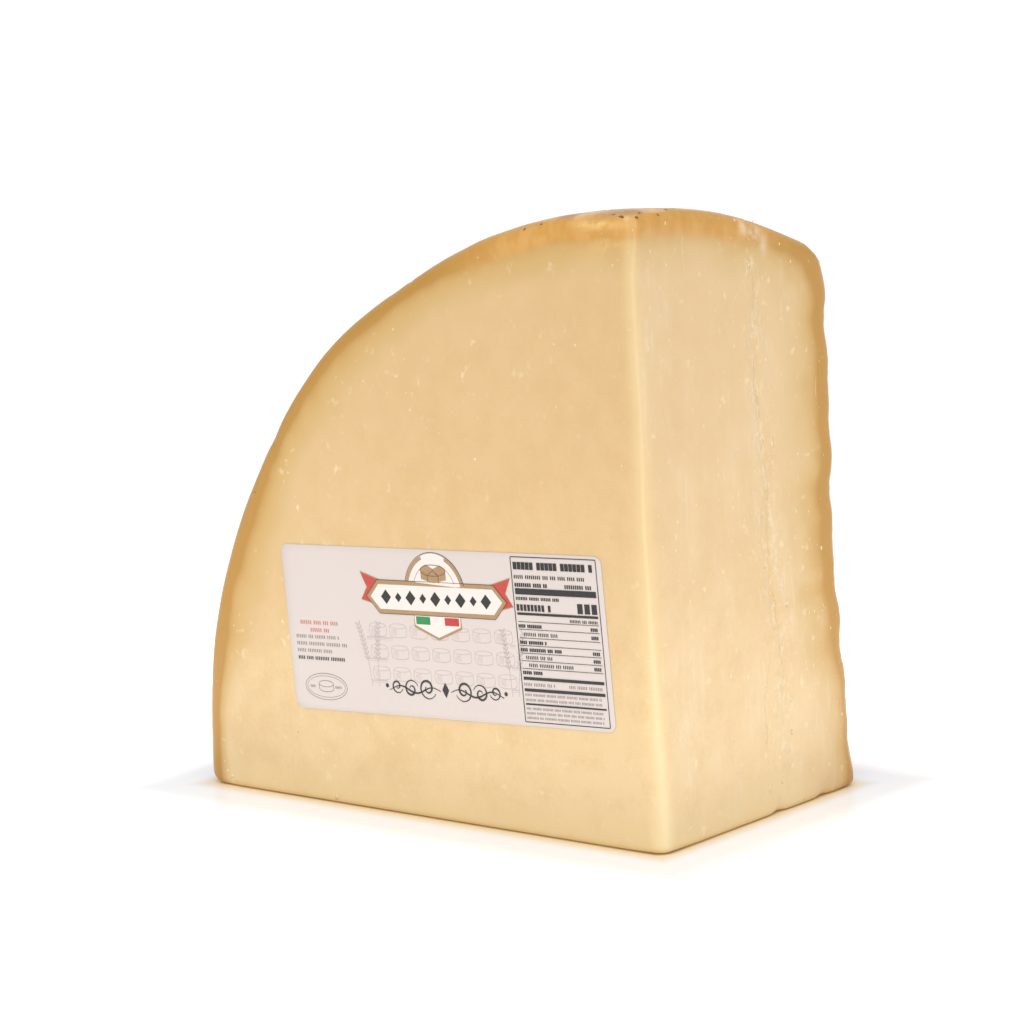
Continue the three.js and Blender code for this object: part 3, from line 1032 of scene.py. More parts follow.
NAMED_FRONT = {
    (-97.4, 138.6): 1.0,
    (-70.1, 123.9): 1.1,
    (-117.8, 147.3): 0.8,
    (-102.7, 165.0): 0.8,
    (-24.7, 162.9): 0.9,
    (-143.5, 2.2): 1.2,
    (-107.3, 143.8): 0.6,
    (-85.2, 131.6): 0.5,
    (-196.1, 5.1): 1.3,
    (-194.0, 3.4): 1.2,
    (-191.6, 2.6): 0.8,
    (-197.4, 8.6): 0.7,
}
NAMED_SIDE = {
    (9.5, 192.0): 0.7,
    (65.5, 150.2): 1.2,
    (66.8, 122.8): 1.5,
    (79.7, 117.2): 0.8,
    (91.8, 83.9): 0.9,
    (38.5, 64.3): 1.0,
    (39.0, 50.7): 1.3,
    (68.5, 36.8): 1.1,
    (72.3, 35.2): 0.9,
    (61.5, 10.5): 1.1,
    (55.0, 9.5): 1.2,
    (29.0, 13.0): 0.6,
    (50.0, 16.5): 0.6,
    (75.8, 104.6): 0.6,
    (65.8, 176.9): 0.7,
    (81.3, 180.3): 0.7,
}
DARK_MARKS = {
    (-4.2, 1.1, 203.4): (0.6, 2.6),
    (-6.6, 1.8, 204.1): (0.5, 2.2),
    (-1.2, 4.6, 203.0): (0.8, 1.8),
    (-2.6, 7.0, 204.1): (0.6, 1.8),
    (-1.0, 14.7, 202.9): (0.75, 1.5),
    (-11.0, 6.0, 205.2): (0.5, 3.4),
    (-17.0, 7.0, 204.7): (0.4, 3.4),
    (-3.0, 22.0, 204.2): (0.5, 3.0),
    (-43.6, 1.1, 199.2): (0.75, 1.5),
    (-37.2, 1.6, 200.6): (0.5, 2.2),
    (-161.9, 0.6, 122.5): (0.5, 1.2),
    (-172.6, 0.5, 105.6): (0.5, 1.2),
    (-160.5, 0.0, 22.2): (0.45, 1.0),
}


def flake_points(middle, way, radius, stretch, drawn_out):
    """A low uneven lump: a middle point on top, a ring round it and a middle point below."""
    turn_start = crystal_draw.uniform(0, math.tau)
    across = Vector(way).orthogonal().normalized()
    along = Vector(way).cross(across)
    stretch = Vector(stretch)
    ring = []
    for i in range(FLAKE_SIDES):
        angle = turn_start + math.tau * i / FLAKE_SIDES
        reach = radius * crystal_draw.uniform(0.55, 1.15)
        out = reach * (math.cos(angle) * across + math.sin(angle) * along)
        ring.append(Vector(middle) + out + (drawn_out - 1) * out.dot(stretch) * stretch)
    sunk = [point - 0.07 * Vector(way) for point in ring]
    top = Vector(middle) + (0.05 + 0.07 * radius) * Vector(way)
    return [top, *sunk, Vector(middle) - 0.35 * Vector(way)]


def flake_faces(first):
    """The triangles of one lump."""
    made = []
    for i in range(FLAKE_SIDES):
        here, there = first + 1 + i, first + 1 + (i + 1) % FLAKE_SIDES
        made += [(first, here, there), (first + 1 + FLAKE_SIDES, there, here)]
    return made


places = []
for (x, z), radius in NAMED_FRONT.items():
    places.append(((x, 0, z), (0, -1, 0), radius))
for (y, z), radius in NAMED_SIDE.items():
    places.append(((0, y, z), (1, 0, 0), radius))
for x, z in drawn_places(130, 204, 204, front_chance):
    places.append(((-x, 0, z), (0, -1, 0), crystal_radius()))
for y, z in drawn_places(300, 100, 200, side_chance):
    places.append(((0, y, z), (1, 0, 0), crystal_radius()))
seats = finished(np.array([place for place, way, radius in places], float))
ways = np.array([way for place, way, radius in places], float)
seats += ways * relief(seats, ways)[:, None]
flake_mesh, flake_sides = [], []
for seat, (place, way, radius) in zip(seats, places):
    drawn_out = crystal_draw.uniform(1, SIDE_STRETCH if way[0] > 0.5 else FRONT_STRETCH)
    flake_sides += flake_faces(len(flake_mesh))
    flake_mesh += flake_points(seat, way, radius, (0, 0, 1), drawn_out)
crystals = mesh_object("crystals", flake_mesh, flake_sides)
grit = Finish("crystal")
grit_colour = grit.mix(grit.noise(2.5, 2.0), tint(228, 199, 148), tint(238, 217, 175))
crystals.data.materials.append(
    grit.surface(Base_Color=grit_colour, Roughness=0.5, Coat_Weight=0.4, Coat_Roughness=0.2)
)
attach(crystals, "root")
print(len(places), "crystals")

mark_mesh, mark_sides = [], []
for place, (radius, drawn_out) in DARK_MARKS.items():
    nearest = int(np.argmin(np.linalg.norm(surface - np.array(place), axis=1)))
    mark_sides += flake_faces(len(mark_mesh))
    mark_mesh += flake_points(surface[nearest], normals[nearest], radius, (1, 0, 0), drawn_out)
rind_marks = mesh_object("rind_marks", mark_mesh, mark_sides)
scuffed = Finish("scuffed rind")
scuff_colour = scuffed.mix(scuffed.noise(1.5, 2.0), tint(118, 66, 40), tint(158, 100, 62))
rind_marks.data.materials.append(scuffed.surface(Base_Color=scuff_colour, Roughness=0.6))
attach(rind_marks, "root")
print(len(DARK_MARKS), "dark marks")

# %% [markdown]
# Clear film clings to the whole piece. Most of it can't be seen, apart from its gloss, which the
# cheese's own coat gives. Where it bunches, it shows as thin pale folds: a few long ones at the
# top of the side and many short upright ones down it, thickest along the crack. Each is a narrow
# ridge, a strip with a raised middle, laid along a path over the cheese.

# %% Film folds
fold_draw = random.Random(21)
FOLD_SINK = 0.06
SIDE_FOLDS = (
    (((60.0, 183.0), (55.0, 176.5), (50.0, 171.0), (46.0, 165.0)), 0.6),
    (((25.6, 195.3), (25.2, 189.0), (26.0, 182.6)), 0.55),
    (((36.3, 185.5), (36.0, 181.0)), 0.5),
    (((39.1, 187.0), (39.4, 182.5)), 0.45),
    (((32.9, 177.0), (33.4, 171.5)), 0.45),
    (((63.5, 167.0), (62.0, 160.5), (63.2, 155.0)), 0.9),
    (((58.0, 131.0), (57.0, 124.0), (58.6, 118.5)), 0.8),
)
SHORT_FOLDS = 56


def stroke_sides(path, width, closed):
    """The left and right edges of a stroke along a path."""
    path = np.asarray(path, float)
    widths = np.broadcast_to(np.asarray(width, float), len(path)) / 2
    if closed:
        along = np.roll(path, -1, axis=0) - np.roll(path, 1, axis=0)
    else:
        along = np.gradient(path, axis=0)
    along /= np.maximum(np.linalg.norm(along, axis=1), 1e-9)[:, None]
    side = np.stack([-along[:, 1], along[:, 0]], axis=1) * widths[:, None]
    return path + side, path - side


def fold_points(path, width):
    """A strip along a path: its left, raised middle and right, laid on the cheese."""
    path = np.asarray(path, float)
    count = max(8, 5 * len(path))
    turns = np.linspace(0, len(path) - 1, count)
    along = np.stack([np.interp(turns, range(len(path)), path[:, i]) for i in (0, 1)], axis=1)
    along[1:-1] += [[fold_draw.gauss(0, 0.12 * width), fold_draw.gauss(0, 0.1)] for _ in along[1:-1]]
    widths = width * np.sin(np.linspace(0.12, math.pi - 0.12, count)) ** 0.6
    widths *= np.array([fold_draw.uniform(0.6, 1.25) for _ in along])
    left, right = stroke_sides(along, widths, False)
    rows = []
    for places, lift in ((left, -FOLD_SINK), (along, 0.04 + 0.035 * width), (right, -FOLD_SINK)):
        spots = np.zeros((count, 3))
        spots[:, 1] = places[:, 0]
        spots[:, 2] = places[:, 1]
        ways = np.tile((1.0, 0.0, 0.0), (count, 1))
        seated = finished(spots)
        rows.append(seated + ways * (relief(seated, ways) + lift)[:, None])
    return np.concatenate(rows)


def fold_faces(first, count):
    """The two slopes of a strip and the face that closes it below."""
    made = []
    for row, next_row in ((0, 1), (1, 2), (2, 0)):
        for i in range(count - 1):
            here, there = first + row * count + i, first + next_row * count + i
            made.append([here + 1, there + 1, there, here])
    return made


def short_fold():
    """A short upright path on the side, likelier by the crack."""
    (y, z) = drawn_places(1, 94, 192, side_chance)[0]
    length = fold_draw.uniform(2, 6.5)
    lean = fold_draw.gauss(0, 0.12) * length
    return ((y + lean, z + length / 2), (y, z), (y - lean, z - length / 2))


paths = list(SIDE_FOLDS)
for _ in range(SHORT_FOLDS):
    paths.append((short_fold(), fold_draw.uniform(0.25, 0.62)))
fold_mesh, fold_sides = [], []
for path, width in paths:
    strip = fold_points(path, width)
    fold_sides += fold_faces(len(fold_mesh), len(strip) // 3)
    fold_mesh += strip.tolist()
film_folds = mesh_object("film_folds", fold_mesh, fold_sides)
film = Finish("bunched film")
milky = film.mix(film.noise(2.2, 2.0), tint(216, 187, 138), tint(231, 209, 172))
film_folds.data.shade_flat()
film_folds.data.materials.append(
    film.surface(Base_Color=milky, Roughness=0.35, Coat_Weight=0.4, Coat_Roughness=0.15)
)
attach(film_folds, "root")
print(len(paths), "folds of film")

# %% [markdown]
# The label is coated paper, printed, and stuck over the film. A subdivided plane would do, but a
# real sheet has thickness, round corners and lies on whatever is under it. So it is made like the
# cheese, as rings that close in on a middle point, and each point rests on the front's own
# waviness. One function turns millimetres across and up the label into such a point, and the
# print uses it too.

# %% Label paper
LABEL_WIDTH = 142.8
LABEL_HEIGHT = 57.1
LABEL_CORNER = 3.0
LABEL_MIDDLE = (-89.2, 63.9)
LABEL_TILT = math.radians(2.64)
PAPER_BACK = 0.05
PAPER_FRONT = 0.22
PAPER_RIM = 0.08
PAPER_RINGS = 14
PAPER_STEP = 3.0


def on_front(places, height):
    """Points over the front from places across and up the label, at a height off the cheese."""
    across, up = np.asarray(places, float).T
    x = LABEL_MIDDLE[0] + across * math.cos(LABEL_TILT) - up * math.sin(LABEL_TILT)
    z = LABEL_MIDDLE[1] + across * math.sin(LABEL_TILT) + up * math.cos(LABEL_TILT)
    points = np.stack([x, np.zeros(len(x)), z], axis=1)
    points[:, 1] = -(front_relief(points) + height)
    return points


def rounded_rectangle(width, height, corner, step):
    """Places round a rectangle with round corners, anticlockwise."""
    places = []
    for quarter in range(4):
        across = (width / 2 - corner) * (1 if quarter in (0, 3) else -1)
        up = (height / 2 - corner) * (1 if quarter < 2 else -1)
        for turn in np.linspace(0, math.pi / 2, 7) + quarter * math.pi / 2:
            places.append((across + corner * math.cos(turn), up + corner * math.sin(turn)))
    ring = []
    for here, there in zip(places, places[1:] + places[:1]):
        count = max(1, round(math.dist(here, there) / step))
        ring += [tuple(np.array(here) + (np.array(there) - here) * i / count) for i in range(count)]
    return np.array(ring)


def paper_sheet():
    """The sheet's points and faces: front, softly rounded rim and back."""
    rim = rounded_rectangle(LABEL_WIDTH, LABEL_HEIGHT, LABEL_CORNER, PAPER_STEP)
    inner = rounded_rectangle(
        LABEL_WIDTH - 2 * PAPER_RIM, LABEL_HEIGHT - 2 * PAPER_RIM, LABEL_CORNER - PAPER_RIM, PAPER_STEP
    )
    places = [inner * (1 - i / PAPER_RINGS) for i in range(PAPER_RINGS)]
    levels = [on_front(ring, PAPER_FRONT) for ring in reversed(places)]
    levels += [on_front(rim, PAPER_FRONT - PAPER_RIM), on_front(rim, PAPER_BACK)]
    levels += [on_front(ring, PAPER_BACK) for ring in places]
    points = np.concatenate([*levels, on_front([(0, 0)], PAPER_FRONT), on_front([(0, 0)], PAPER_BACK)])
    count = len(rim)
    sheet_faces = [face for i in range(len(levels) - 1) for face in ring_faces(i * count, count)]
    sheet_faces += closing_faces(0, count, len(points) - 2, True)
    sheet_faces += closing_faces((len(levels) - 1) * count, count, len(points) - 1, False)
    return points, [face[::-1] for face in sheet_faces]


paper = mesh_object("label_paper", *paper_sheet())
coated = Finish("label paper")
fibres = coated.noise(0.9, 3.0, (1.0, 1.0, 2.0))
paper_tone = coated.mix(coated.noise(30, 2.0), tint(213, 200, 193), tint(217, 205, 197))
paper_colour = coated.mix(fibres * 0.25, paper_tone, tint(205, 192, 186))
paper.data.materials.append(
    coated.surface(
        Base_Color=paper_colour,
        Roughness=0.42 + 0.08 * fibres,
        Normal=coated.bump(coated.noise(0.7, 3.0), 0.012, 0.6),
        Coat_Weight=0.3,
        Coat_Roughness=0.2,
    )
)
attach(paper, "root")
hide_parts("label")
paper_thickness = round(PAPER_FRONT - PAPER_BACK, 2)
print("the paper is", paper_thickness, "mm thick, with", len(paper.data.vertices), "points")

# %% [markdown]
# The print. Ink could be painted with an image, but this file uses none, and a pattern worked out
# by nodes gets unwieldy for so many small shapes. Each ink is therefore a mesh of very thin
# closed plates lying on the paper, one piece for each colour, so edges stay crisp at any
# distance. An Ink collects strokes and filled shapes, given in millimetres from the middle of the
# label, and raises them all at once. Inks that overlap lie at heights a little apart.

# %% Ink helpers
INK_THICKNESS = 0.02
INK_LAYER = 0.03


class Ink:
    """Shapes printed in one colour, raised into thin closed plates on the paper."""

    def __init__(self, name, layer):
        self.name = name
        self.height = PAPER_FRONT + INK_LAYER * layer
        self.points = []
        self.faces = []

    def plate(self, places, top):
        """Adds places twice, on top and below, and the faces that close the plate round them."""
        first = sum(len(part) for part in self.points)
        count = len(places)
        self.points += [on_front(places, self.height + INK_THICKNESS), on_front(places, self.height - 0.01)]
        self.faces += [[first + i for i in face] for face in top]
        self.faces += [[first + count + i for i in reversed(face)] for face in top]
        edges = {}
        for face in top:
            for here, there in zip(face, [*face[1:], face[0]]):
                edges[(here, there)] = True
        for here, there in edges:
            if (there, here) not in edges:
                lower = (first + count + there, first + count + here)
                self.faces.append([first + there, first + here, *reversed(lower)])

    def stroke(self, path, width, closed=False):
        """A line of a given width, or of one width for each place."""
        left, right = stroke_sides(path, width, closed)
        count = len(left)
        top = []
        for i in range(count if closed else count - 1):
            there = (i + 1) % count
            top.append([i, i + count, there + count, there])
        self.plate(np.concatenate([left, right]), top)

    def filled(self, places):
        """A filled shape that can be seen all round from its middle."""
        places = np.asarray(places, float)
        middle = places.mean(axis=0)
        count = len(places)
        top = [[count, i, (i + 1) % count] for i in range(count)]
        self.plate(np.concatenate([places, middle[None]]), top)

    def bar(self, left, right, up, height):
        """An upright-sided bar between two places across, centred on a height."""
        self.stroke([(left, up), (right, up)], height)

    def make(self, finish):
        made = mesh_object(self.name, np.concatenate(self.points), self.faces)
        made.data.shade_flat()
        made.data.materials.append(finish)
        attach(made, "root")
        print(self.name, "has", len(self.faces), "faces")
        return made


def ink_finish(name, colour, thin_colour):
    """Printing ink: nearly even, with the faint mottle of a press."""
    ink = Finish(name)
    pressed = ink.between(ink.noise(0.8, 3.0), 0.35, 0.8)
    tone = ink.mix(pressed * 0.5, colour, thin_colour)
    return ink.surface(Base_Color=tone, Roughness=0.42, Coat_Weight=0.15, Coat_Roughness=0.2)


def oval(middle, reach, start=0.0, end=360.0, count=48):
    """Places along an oval arc, in degrees anticlockwise from the right."""
    closed = end - start >= 360
    turns = np.radians(np.linspace(start, end, count, endpoint=not closed))
    across = middle[0] + reach[0] * np.cos(turns)
    return np.stack([across, middle[1] + reach[1] * np.sin(turns)], axis=1)


def mirrored(places, about):
    """The same places on the other side of an upright line, still anticlockwise."""
    places = np.asarray(places, float).copy()
    places[:, 0] = 2 * about - places[:, 0]
    return places[::-1]


black = Ink("print_black", 3)
grey = Ink("print_grey", 1)
pale = Ink("print_pale", 0)
gold = Ink("print_gold", 2)
red = Ink("print_red", 1)
green = Ink("print_green", 4)
white = Ink("print_white", 2)
bright_red = Ink("print_bright_red", 4)
faint_red = Ink("print_faint_red", 1)

# %% [markdown]
# Rows of small print are plain blocks, as typesetters put them in a mock-up: equal little blocks,
# three to nine in a group, with a gap between the groups. From a little way off they look like
# type and say nothing.

# %% Rows of blocks for type
type_draw = random.Random(8)


def type_row(ink, left, right, foot, height, weight=0.62):
    """Equal blocks in words from left to right, standing on the foot of the line."""
    across = left
    block = height * 0.56
    high = height * 0.78
    in_word = type_draw.randint(4, 9)
    while across + block <= right:
        ink.bar(across, across + block * weight, foot + high / 2, high)
        across += block
        in_word -= 1
        if in_word == 0:
            across += height * 0.45
            in_word = type_draw.randint(3, 9)


# %% [markdown]
# The table on the right: a thin frame, heavy and fine rules across it, a row of blocks for each
# line and a short one at the right for its figure. Heights are shares of the label's height, read
# from the top, because that is how the table is laid out.

# %% Framed table
TABLE_LEFT = 33.2
TABLE_RIGHT = 69.2
TABLE_INSET = 0.9
HEAVY_RULES = ((0.218, 2.0), (0.347, 0.8), (0.721, 1.0), (0.788, 1.0), (0.870, 0.55))
FINE_RULES = (0.393, 0.437, 0.487, 0.531, 0.575, 0.619, 0.664)
BOLD_ROWS = ((0.090, 2.9, 33.0, 68.0), (0.322, 2.5, 33.0, 50.0))


def down(share):
    """The height on the label at a share of the way down from its top."""
    return LABEL_HEIGHT * (0.5 - share)


frame_line = rounded_rectangle(TABLE_RIGHT - TABLE_LEFT, 0.955 * LABEL_HEIGHT, 0.4, 6)
frame_line += np.array([(TABLE_LEFT + TABLE_RIGHT) / 2, down(0.4975)])
black.stroke(frame_line, 0.28, closed=True)
inner_left, inner_right = TABLE_LEFT + TABLE_INSET, TABLE_RIGHT - TABLE_INSET
for share, thick in HEAVY_RULES:
    black.bar(inner_left, inner_right, down(share), thick)
for share in FINE_RULES:
    black.bar(inner_left, inner_right, down(share), 0.16)
type_row(black, inner_left, inner_right - 0.4, down(0.092), 3.1, 0.86)
type_row(black, inner_left, inner_right - 4, down(0.145), 1.5, 0.5)
type_row(black, inner_left, inner_left + 14, down(0.192), 1.6, 0.7)
type_row(black, inner_right - 13, inner_right - 0.3, down(0.192), 1.6, 0.6)
type_row(black, inner_left, inner_left + 19, down(0.268), 1.3, 0.6)
type_row(black, inner_left, inner_left + 15.5, down(0.33), 2.7, 0.72)
for i in range(3):
    black.bar(inner_right - 8.4 + 3 * i, inner_right - 6.2 + 3 * i, down(0.303), 3.2)
type_row(black, inner_right - 12, inner_right, down(0.385), 1.2, 0.5)
for i, share in enumerate((0.428, 0.475, 0.522, 0.565, 0.609, 0.653, 0.697)):
    indent = (0, 2, 0, 0, 2, 3, 0)[i]
    length = (11, 15, 12, 18, 12, 20, 9)[i]
    weight = 0.72 if indent == 0 else 0.45
    row_left = inner_left + indent
    type_row(black, row_left, row_left + length, down(share), 1.4, weight)
    if i not in (2, 6):
        type_row(black, inner_right - 3.6, inner_right, down(share), 1.4, 0.7)
type_row(grey, inner_left, inner_left + 14, down(0.765), 1.3, 0.5)
type_row(grey, inner_right - 15, inner_right, down(0.765), 1.3, 0.5)
for share in (0.824, 0.853):
    type_row(grey, inner_left, inner_right - 1, down(share), 1.05, 0.5)
for share in (0.903, 0.930, 0.957):
    type_row(grey, inner_left, inner_right - 1, down(share), 1.0, 0.5)

# %% [markdown]
# The small print on the left: two faint red rows, three grey ones and a bold one, and below them
# a little stamp, an oval with a wheel of cheese in it.

# %% Left column
for share, left, right in ((0.482, -65.5, -47.5), (0.527, -61, -51.5)):
    type_row(faint_red, left, right, down(share), 1.65, 0.5)
for share, right in ((0.567, -47), (0.610, -43.5), (0.652, -51)):
    type_row(grey, -68, right, down(share), 1.5, 0.45)
type_row(black, -68, -45, down(0.697), 1.5, 0.5)

STAMP = (-56.2, -20.4)
STAMP_REACH = (9.8, 4.6)
grey.stroke(oval(STAMP, STAMP_REACH), 0.2, closed=True)
grey.stroke(oval(STAMP, (STAMP_REACH[0] - 0.9, STAMP_REACH[1] - 0.9)), 0.14, closed=True)
grey.stroke(oval((STAMP[0], STAMP[1] + 1), (3.4, 1.1)), 0.2, closed=True)
grey.stroke(oval((STAMP[0], STAMP[1] - 0.7), (3.4, 1.1), 180, 360, 20), 0.2)
for side in (-1, 1):
    grey.stroke([(STAMP[0] + side * 3.4, STAMP[1] + 1), (STAMP[0] + side * 3.4, STAMP[1] - 0.7)], 0.2)
    type_row(grey, STAMP[0] + side * 5.9 - 1.6, STAMP[0] + side * 5.9 + 1.8, STAMP[1] - 0.5, 1.1, 0.5)

# %% [markdown]
# The emblem in the middle is a plain design in few colours: a long white strip
# with pointed ends and a gold border, over a half disc that holds a cut wheel of cheese. Red
# ribbon tails come out behind its ends, a row of dark lozenges runs along it and a pennant in
# green, white and red hangs below.

# %% Emblem
EMBLEM = (-1.4, 12.0)
STRIP_HALF = 25.5
STRIP_TIP = 29.5
STRIP_HEIGHT = 4.2
LOZENGES = 9


def about_emblem(places):
    """Places given from the middle of the emblem."""
    return np.asarray(places, float) + np.array(EMBLEM)


def strip_outline(grow):
    """The pointed strip, grown all round."""
    half, tip, high = STRIP_HALF + 0.3 * grow, STRIP_TIP + 1.3 * grow, STRIP_HEIGHT + grow
    return about_emblem([(half, high), (-half, high), (-tip, 0), (-half, -high), (half, -high), (tip, 0)])


tail = about_emblem([(-22, 4.8), (-33.6, 8.2), (-31.0, 3.0), (-34.0, -1.2), (-22, -4.0)])
for ribbon in (tail, mirrored(tail, EMBLEM[0])):
    red.filled(ribbon)
    gold.stroke(ribbon, 0.35, closed=True)
dome_middle = about_emblem([(0, 2.0)])[0]
white_dome = oval(dome_middle, (13.2, 13.4), 0, 180, 40)
white.filled(white_dome)
gold.stroke(oval(dome_middle, (12.6, 12.8), 8, 172, 40), 1.3)
black.stroke(oval(dome_middle, (13.5, 13.7), 12, 168, 40), 0.16)
gold.stroke(oval(dome_middle, (9.6, 9.9), 20, 160, 30), 0.22)

banner = Ink("print_banner", 4)
banner.filled(strip_outline(1.4))
banner_white = Ink("print_banner_white", 5)
banner_white.filled(strip_outline(0.0))
lozenge_black = Ink("print_lozenges", 6)
lozenge_black.stroke(strip_outline(1.5), 0.16, closed=True)
for i in range(LOZENGES):
    across = (i - (LOZENGES - 1) / 2) * 5.6
    wide, high = (2.3, 2.5) if i % 2 == 0 else (1.5, 1.7)
    corners = [(across + wide, 0), (across, high), (across - wide, 0), (across, -high)]
    lozenge_black.filled(about_emblem(corners))

wheel_top = about_emblem([(0, 9.6)])[0]
gold.filled(oval(wheel_top, (5.6, 1.9)))
gold.filled(about_emblem([(-5.6, 9.4), (-5.6, 6.6), (0, 5.4), (5.6, 6.6), (5.6, 9.4), (0, 8.2)]))
cut_lines = Ink("print_wheel_lines", 5)
cut_lines.stroke(oval(wheel_top, (5.6, 1.9)), 0.2, closed=True)
cut_lines.stroke(about_emblem([(0, 9.6), (2.2, 7.9), (2.2, 5.5)]), 0.2)
cut_lines.stroke(about_emblem([(0, 9.6), (-2.6, 8.0), (-2.6, 5.7)]), 0.2)

pennant = about_emblem([(10.4, -5.6), (-10.4, -5.6), (-10.4, -9.4), (0, -13.4), (10.4, -9.4)])
white.filled(pennant)
gold.stroke(pennant, 0.9, closed=True)
for left, ink in ((-9.6, green), (3.3, bright_red)):
    ink.bar(EMBLEM[0] + left, EMBLEM[0] + left + 6.3, EMBLEM[1] - 7.4, 2.6)

# %% [markdown]
# Behind the emblem lies a pale tinted picture: shelves of ripening wheels between ears of grain,
# in thin lines of a mauve only a little darker than the paper.

# %% Pale picture
SHELVES = ((-1.2, 7), (-8.6, 7), (-16.0, 7))
PICTURE_MIDDLE = -1.2
WHEEL_SPACING = 9.4
picture_draw = random.Random(3)


def pale_wheel(across, foot):
    """One wheel on a shelf: its top, its bulging sides and its foot."""
    wide, high, tilt = 3.7, 3.3, 0.8
    pale.stroke(oval((across, foot + high), (wide, tilt), 0, 360, 24), 0.22, closed=True)
    pale.stroke(oval((across, foot + 0.2), (wide, tilt), 180, 360, 14), 0.3)
    for side in (-1, 1):
        bulge = [(across + side * wide, foot + high), (across + side * (wide + 0.3), foot + high / 2)]
        pale.stroke([*bulge, (across + side * wide, foot + 0.2)], 0.22)
    for i in range(5):
        shade = across - wide + 0.8 + 0.5 * i
        pale.stroke([(shade, foot + high - 1.2 + 0.1 * i), (shade, foot + 0.4 - 0.1 * i)], 0.14)


for foot, count in SHELVES:
    pale.bar(PICTURE_MIDDLE - 33.5, PICTURE_MIDDLE + 33.0, foot - 0.9, 0.45)
    pale.bar(PICTURE_MIDDLE - 33.5, PICTURE_MIDDLE + 33.0, foot - 1.6, 0.16)
    for i in range(count):
        pale_wheel(PICTURE_MIDDLE + (i - (count - 1) / 2) * WHEEL_SPACING, foot)


def grain_ear(ink, foot, lean, length, width):
    """A stalk with pairs of grains up its top half."""
    foot = np.array(foot, float)
    ways = np.radians(90 + lean * np.linspace(0.2, 1, 14))
    steps = np.stack([np.cos(ways), np.sin(ways)], axis=1) * length / 14
    stalk = foot + np.concatenate([[[0, 0]], np.cumsum(steps, axis=0)])
    ink.stroke(stalk, width)
    for i in range(6, 15):
        for side in (-1, 1):
            way = math.radians(90 + lean * i / 14 + side * 38)
            along = np.array([math.cos(way), math.sin(way)])
            across = np.array([-along[1], along[0]])
            heart = stalk[i] + along * 1.0
            turns = np.radians(np.linspace(0, 360, 9)[:-1])
            long_way, short_way = np.outer(np.cos(turns), along), np.outer(np.sin(turns), across)
            ink.filled(heart + long_way * 1.0 + short_way * 0.38)


for across, lean in ((-34.2, 18), (-31.0, -8), (28.6, 8), (31.6, -18)):
    grain_ear(pale, (across, -19.0), lean, 21, 0.3)

# %% [markdown]
# Below the emblem runs an ornament: two dark scrolls that curl out from a lozenge. Each stroke
# swells in its middle, as a broad pen makes it.

# %% Scrolls
SCROLL_MIDDLE = (-0.8, -18.6)


def spiral(middle, start, turn, reach, tight):
    """Places along a spiral that closes in by the share tight while it turns, in degrees."""
    turns = np.radians(start + turn * np.linspace(0, 1, 40))
    radius = reach * (1 - (1 - tight) * np.linspace(0, 1, 40))
    across = middle[0] + radius * np.cos(turns)
    return np.stack([across, middle[1] + radius * np.sin(turns)], axis=1)


def pen(count, widest):
    """Stroke widths that swell in the middle and thin out at the ends."""
    return 0.22 + (widest - 0.22) * np.sin(np.linspace(0, math.pi, count)) ** 1.4


def scroll(side):
    """One half of the ornament, to the right for side 1 and to the left for side -1."""
    curls = [
        (spiral((8.2, 0.2), 205, 560, 3.9, 0.18), 0.75),
        (spiral((15.6, -0.4), 160, -500, 3.3, 0.2), 0.7),
        (spiral((22.0, 0.3), 200, 470, 2.6, 0.22), 0.6),
    ]
    for path, widest in curls:
        places = path * np.array([side, 1]) + np.array(SCROLL_MIDDLE)
        black.stroke(places, pen(len(places), widest))
    wave = 1.1 * np.sin(np.linspace(0, 3.2 * math.pi, 30)) - 0.6
    sweep = np.stack([np.linspace(2.4, 25.6, 30), wave], axis=1)
    black.stroke(sweep * np.array([side, 1]) + np.array(SCROLL_MIDDLE), pen(30, 0.6))
    black.filled(oval(np.array(SCROLL_MIDDLE) + np.array([side * 26.6, 0.2]), (0.7, 0.7), 0, 360, 16))


for side in (-1, 1):
    scroll(side)
heart = np.array(SCROLL_MIDDLE)
black.filled(heart + np.array([(1.5, 0), (0, 2.6), (-1.5, 0), (0, -2.6)]))

# %% [markdown]
# All inks are now raised into pieces, each with its own finish: slightly uneven, as a press lays
# ink down, and glossed over like the paper.

# %% Make the print
BLACK_INK = ink_finish("black ink", tint(20, 17, 17), tint(42, 37, 36))
WHITE_INK = ink_finish("white ink", tint(234, 224, 216), tint(230, 219, 211))
GOLD_INK = ink_finish("gold ink", tint(168, 132, 92), tint(184, 150, 112))
for ink, finish in (
    (black, BLACK_INK),
    (grey, ink_finish("grey ink", tint(126, 116, 114), tint(160, 149, 146))),
    (pale, ink_finish("pale ink", tint(190, 175, 172), tint(204, 190, 186))),
    (gold, GOLD_INK),
    (red, ink_finish("red ink", tint(190, 60, 46), tint(198, 80, 62))),
    (green, ink_finish("green ink", tint(22, 132, 66), tint(50, 148, 88))),
    (white, WHITE_INK),
    (bright_red, ink_finish("bright red ink", tint(188, 42, 38), tint(198, 70, 60))),
    (faint_red, ink_finish("faint red ink", tint(196, 104, 94), tint(204, 132, 122))),
    (banner, GOLD_INK),
    (banner_white, WHITE_INK),
    (lozenge_black, BLACK_INK),
    (cut_lines, ink_finish("brown ink", tint(120, 84, 52), tint(140, 104, 70))),
):
    ink.make(finish)

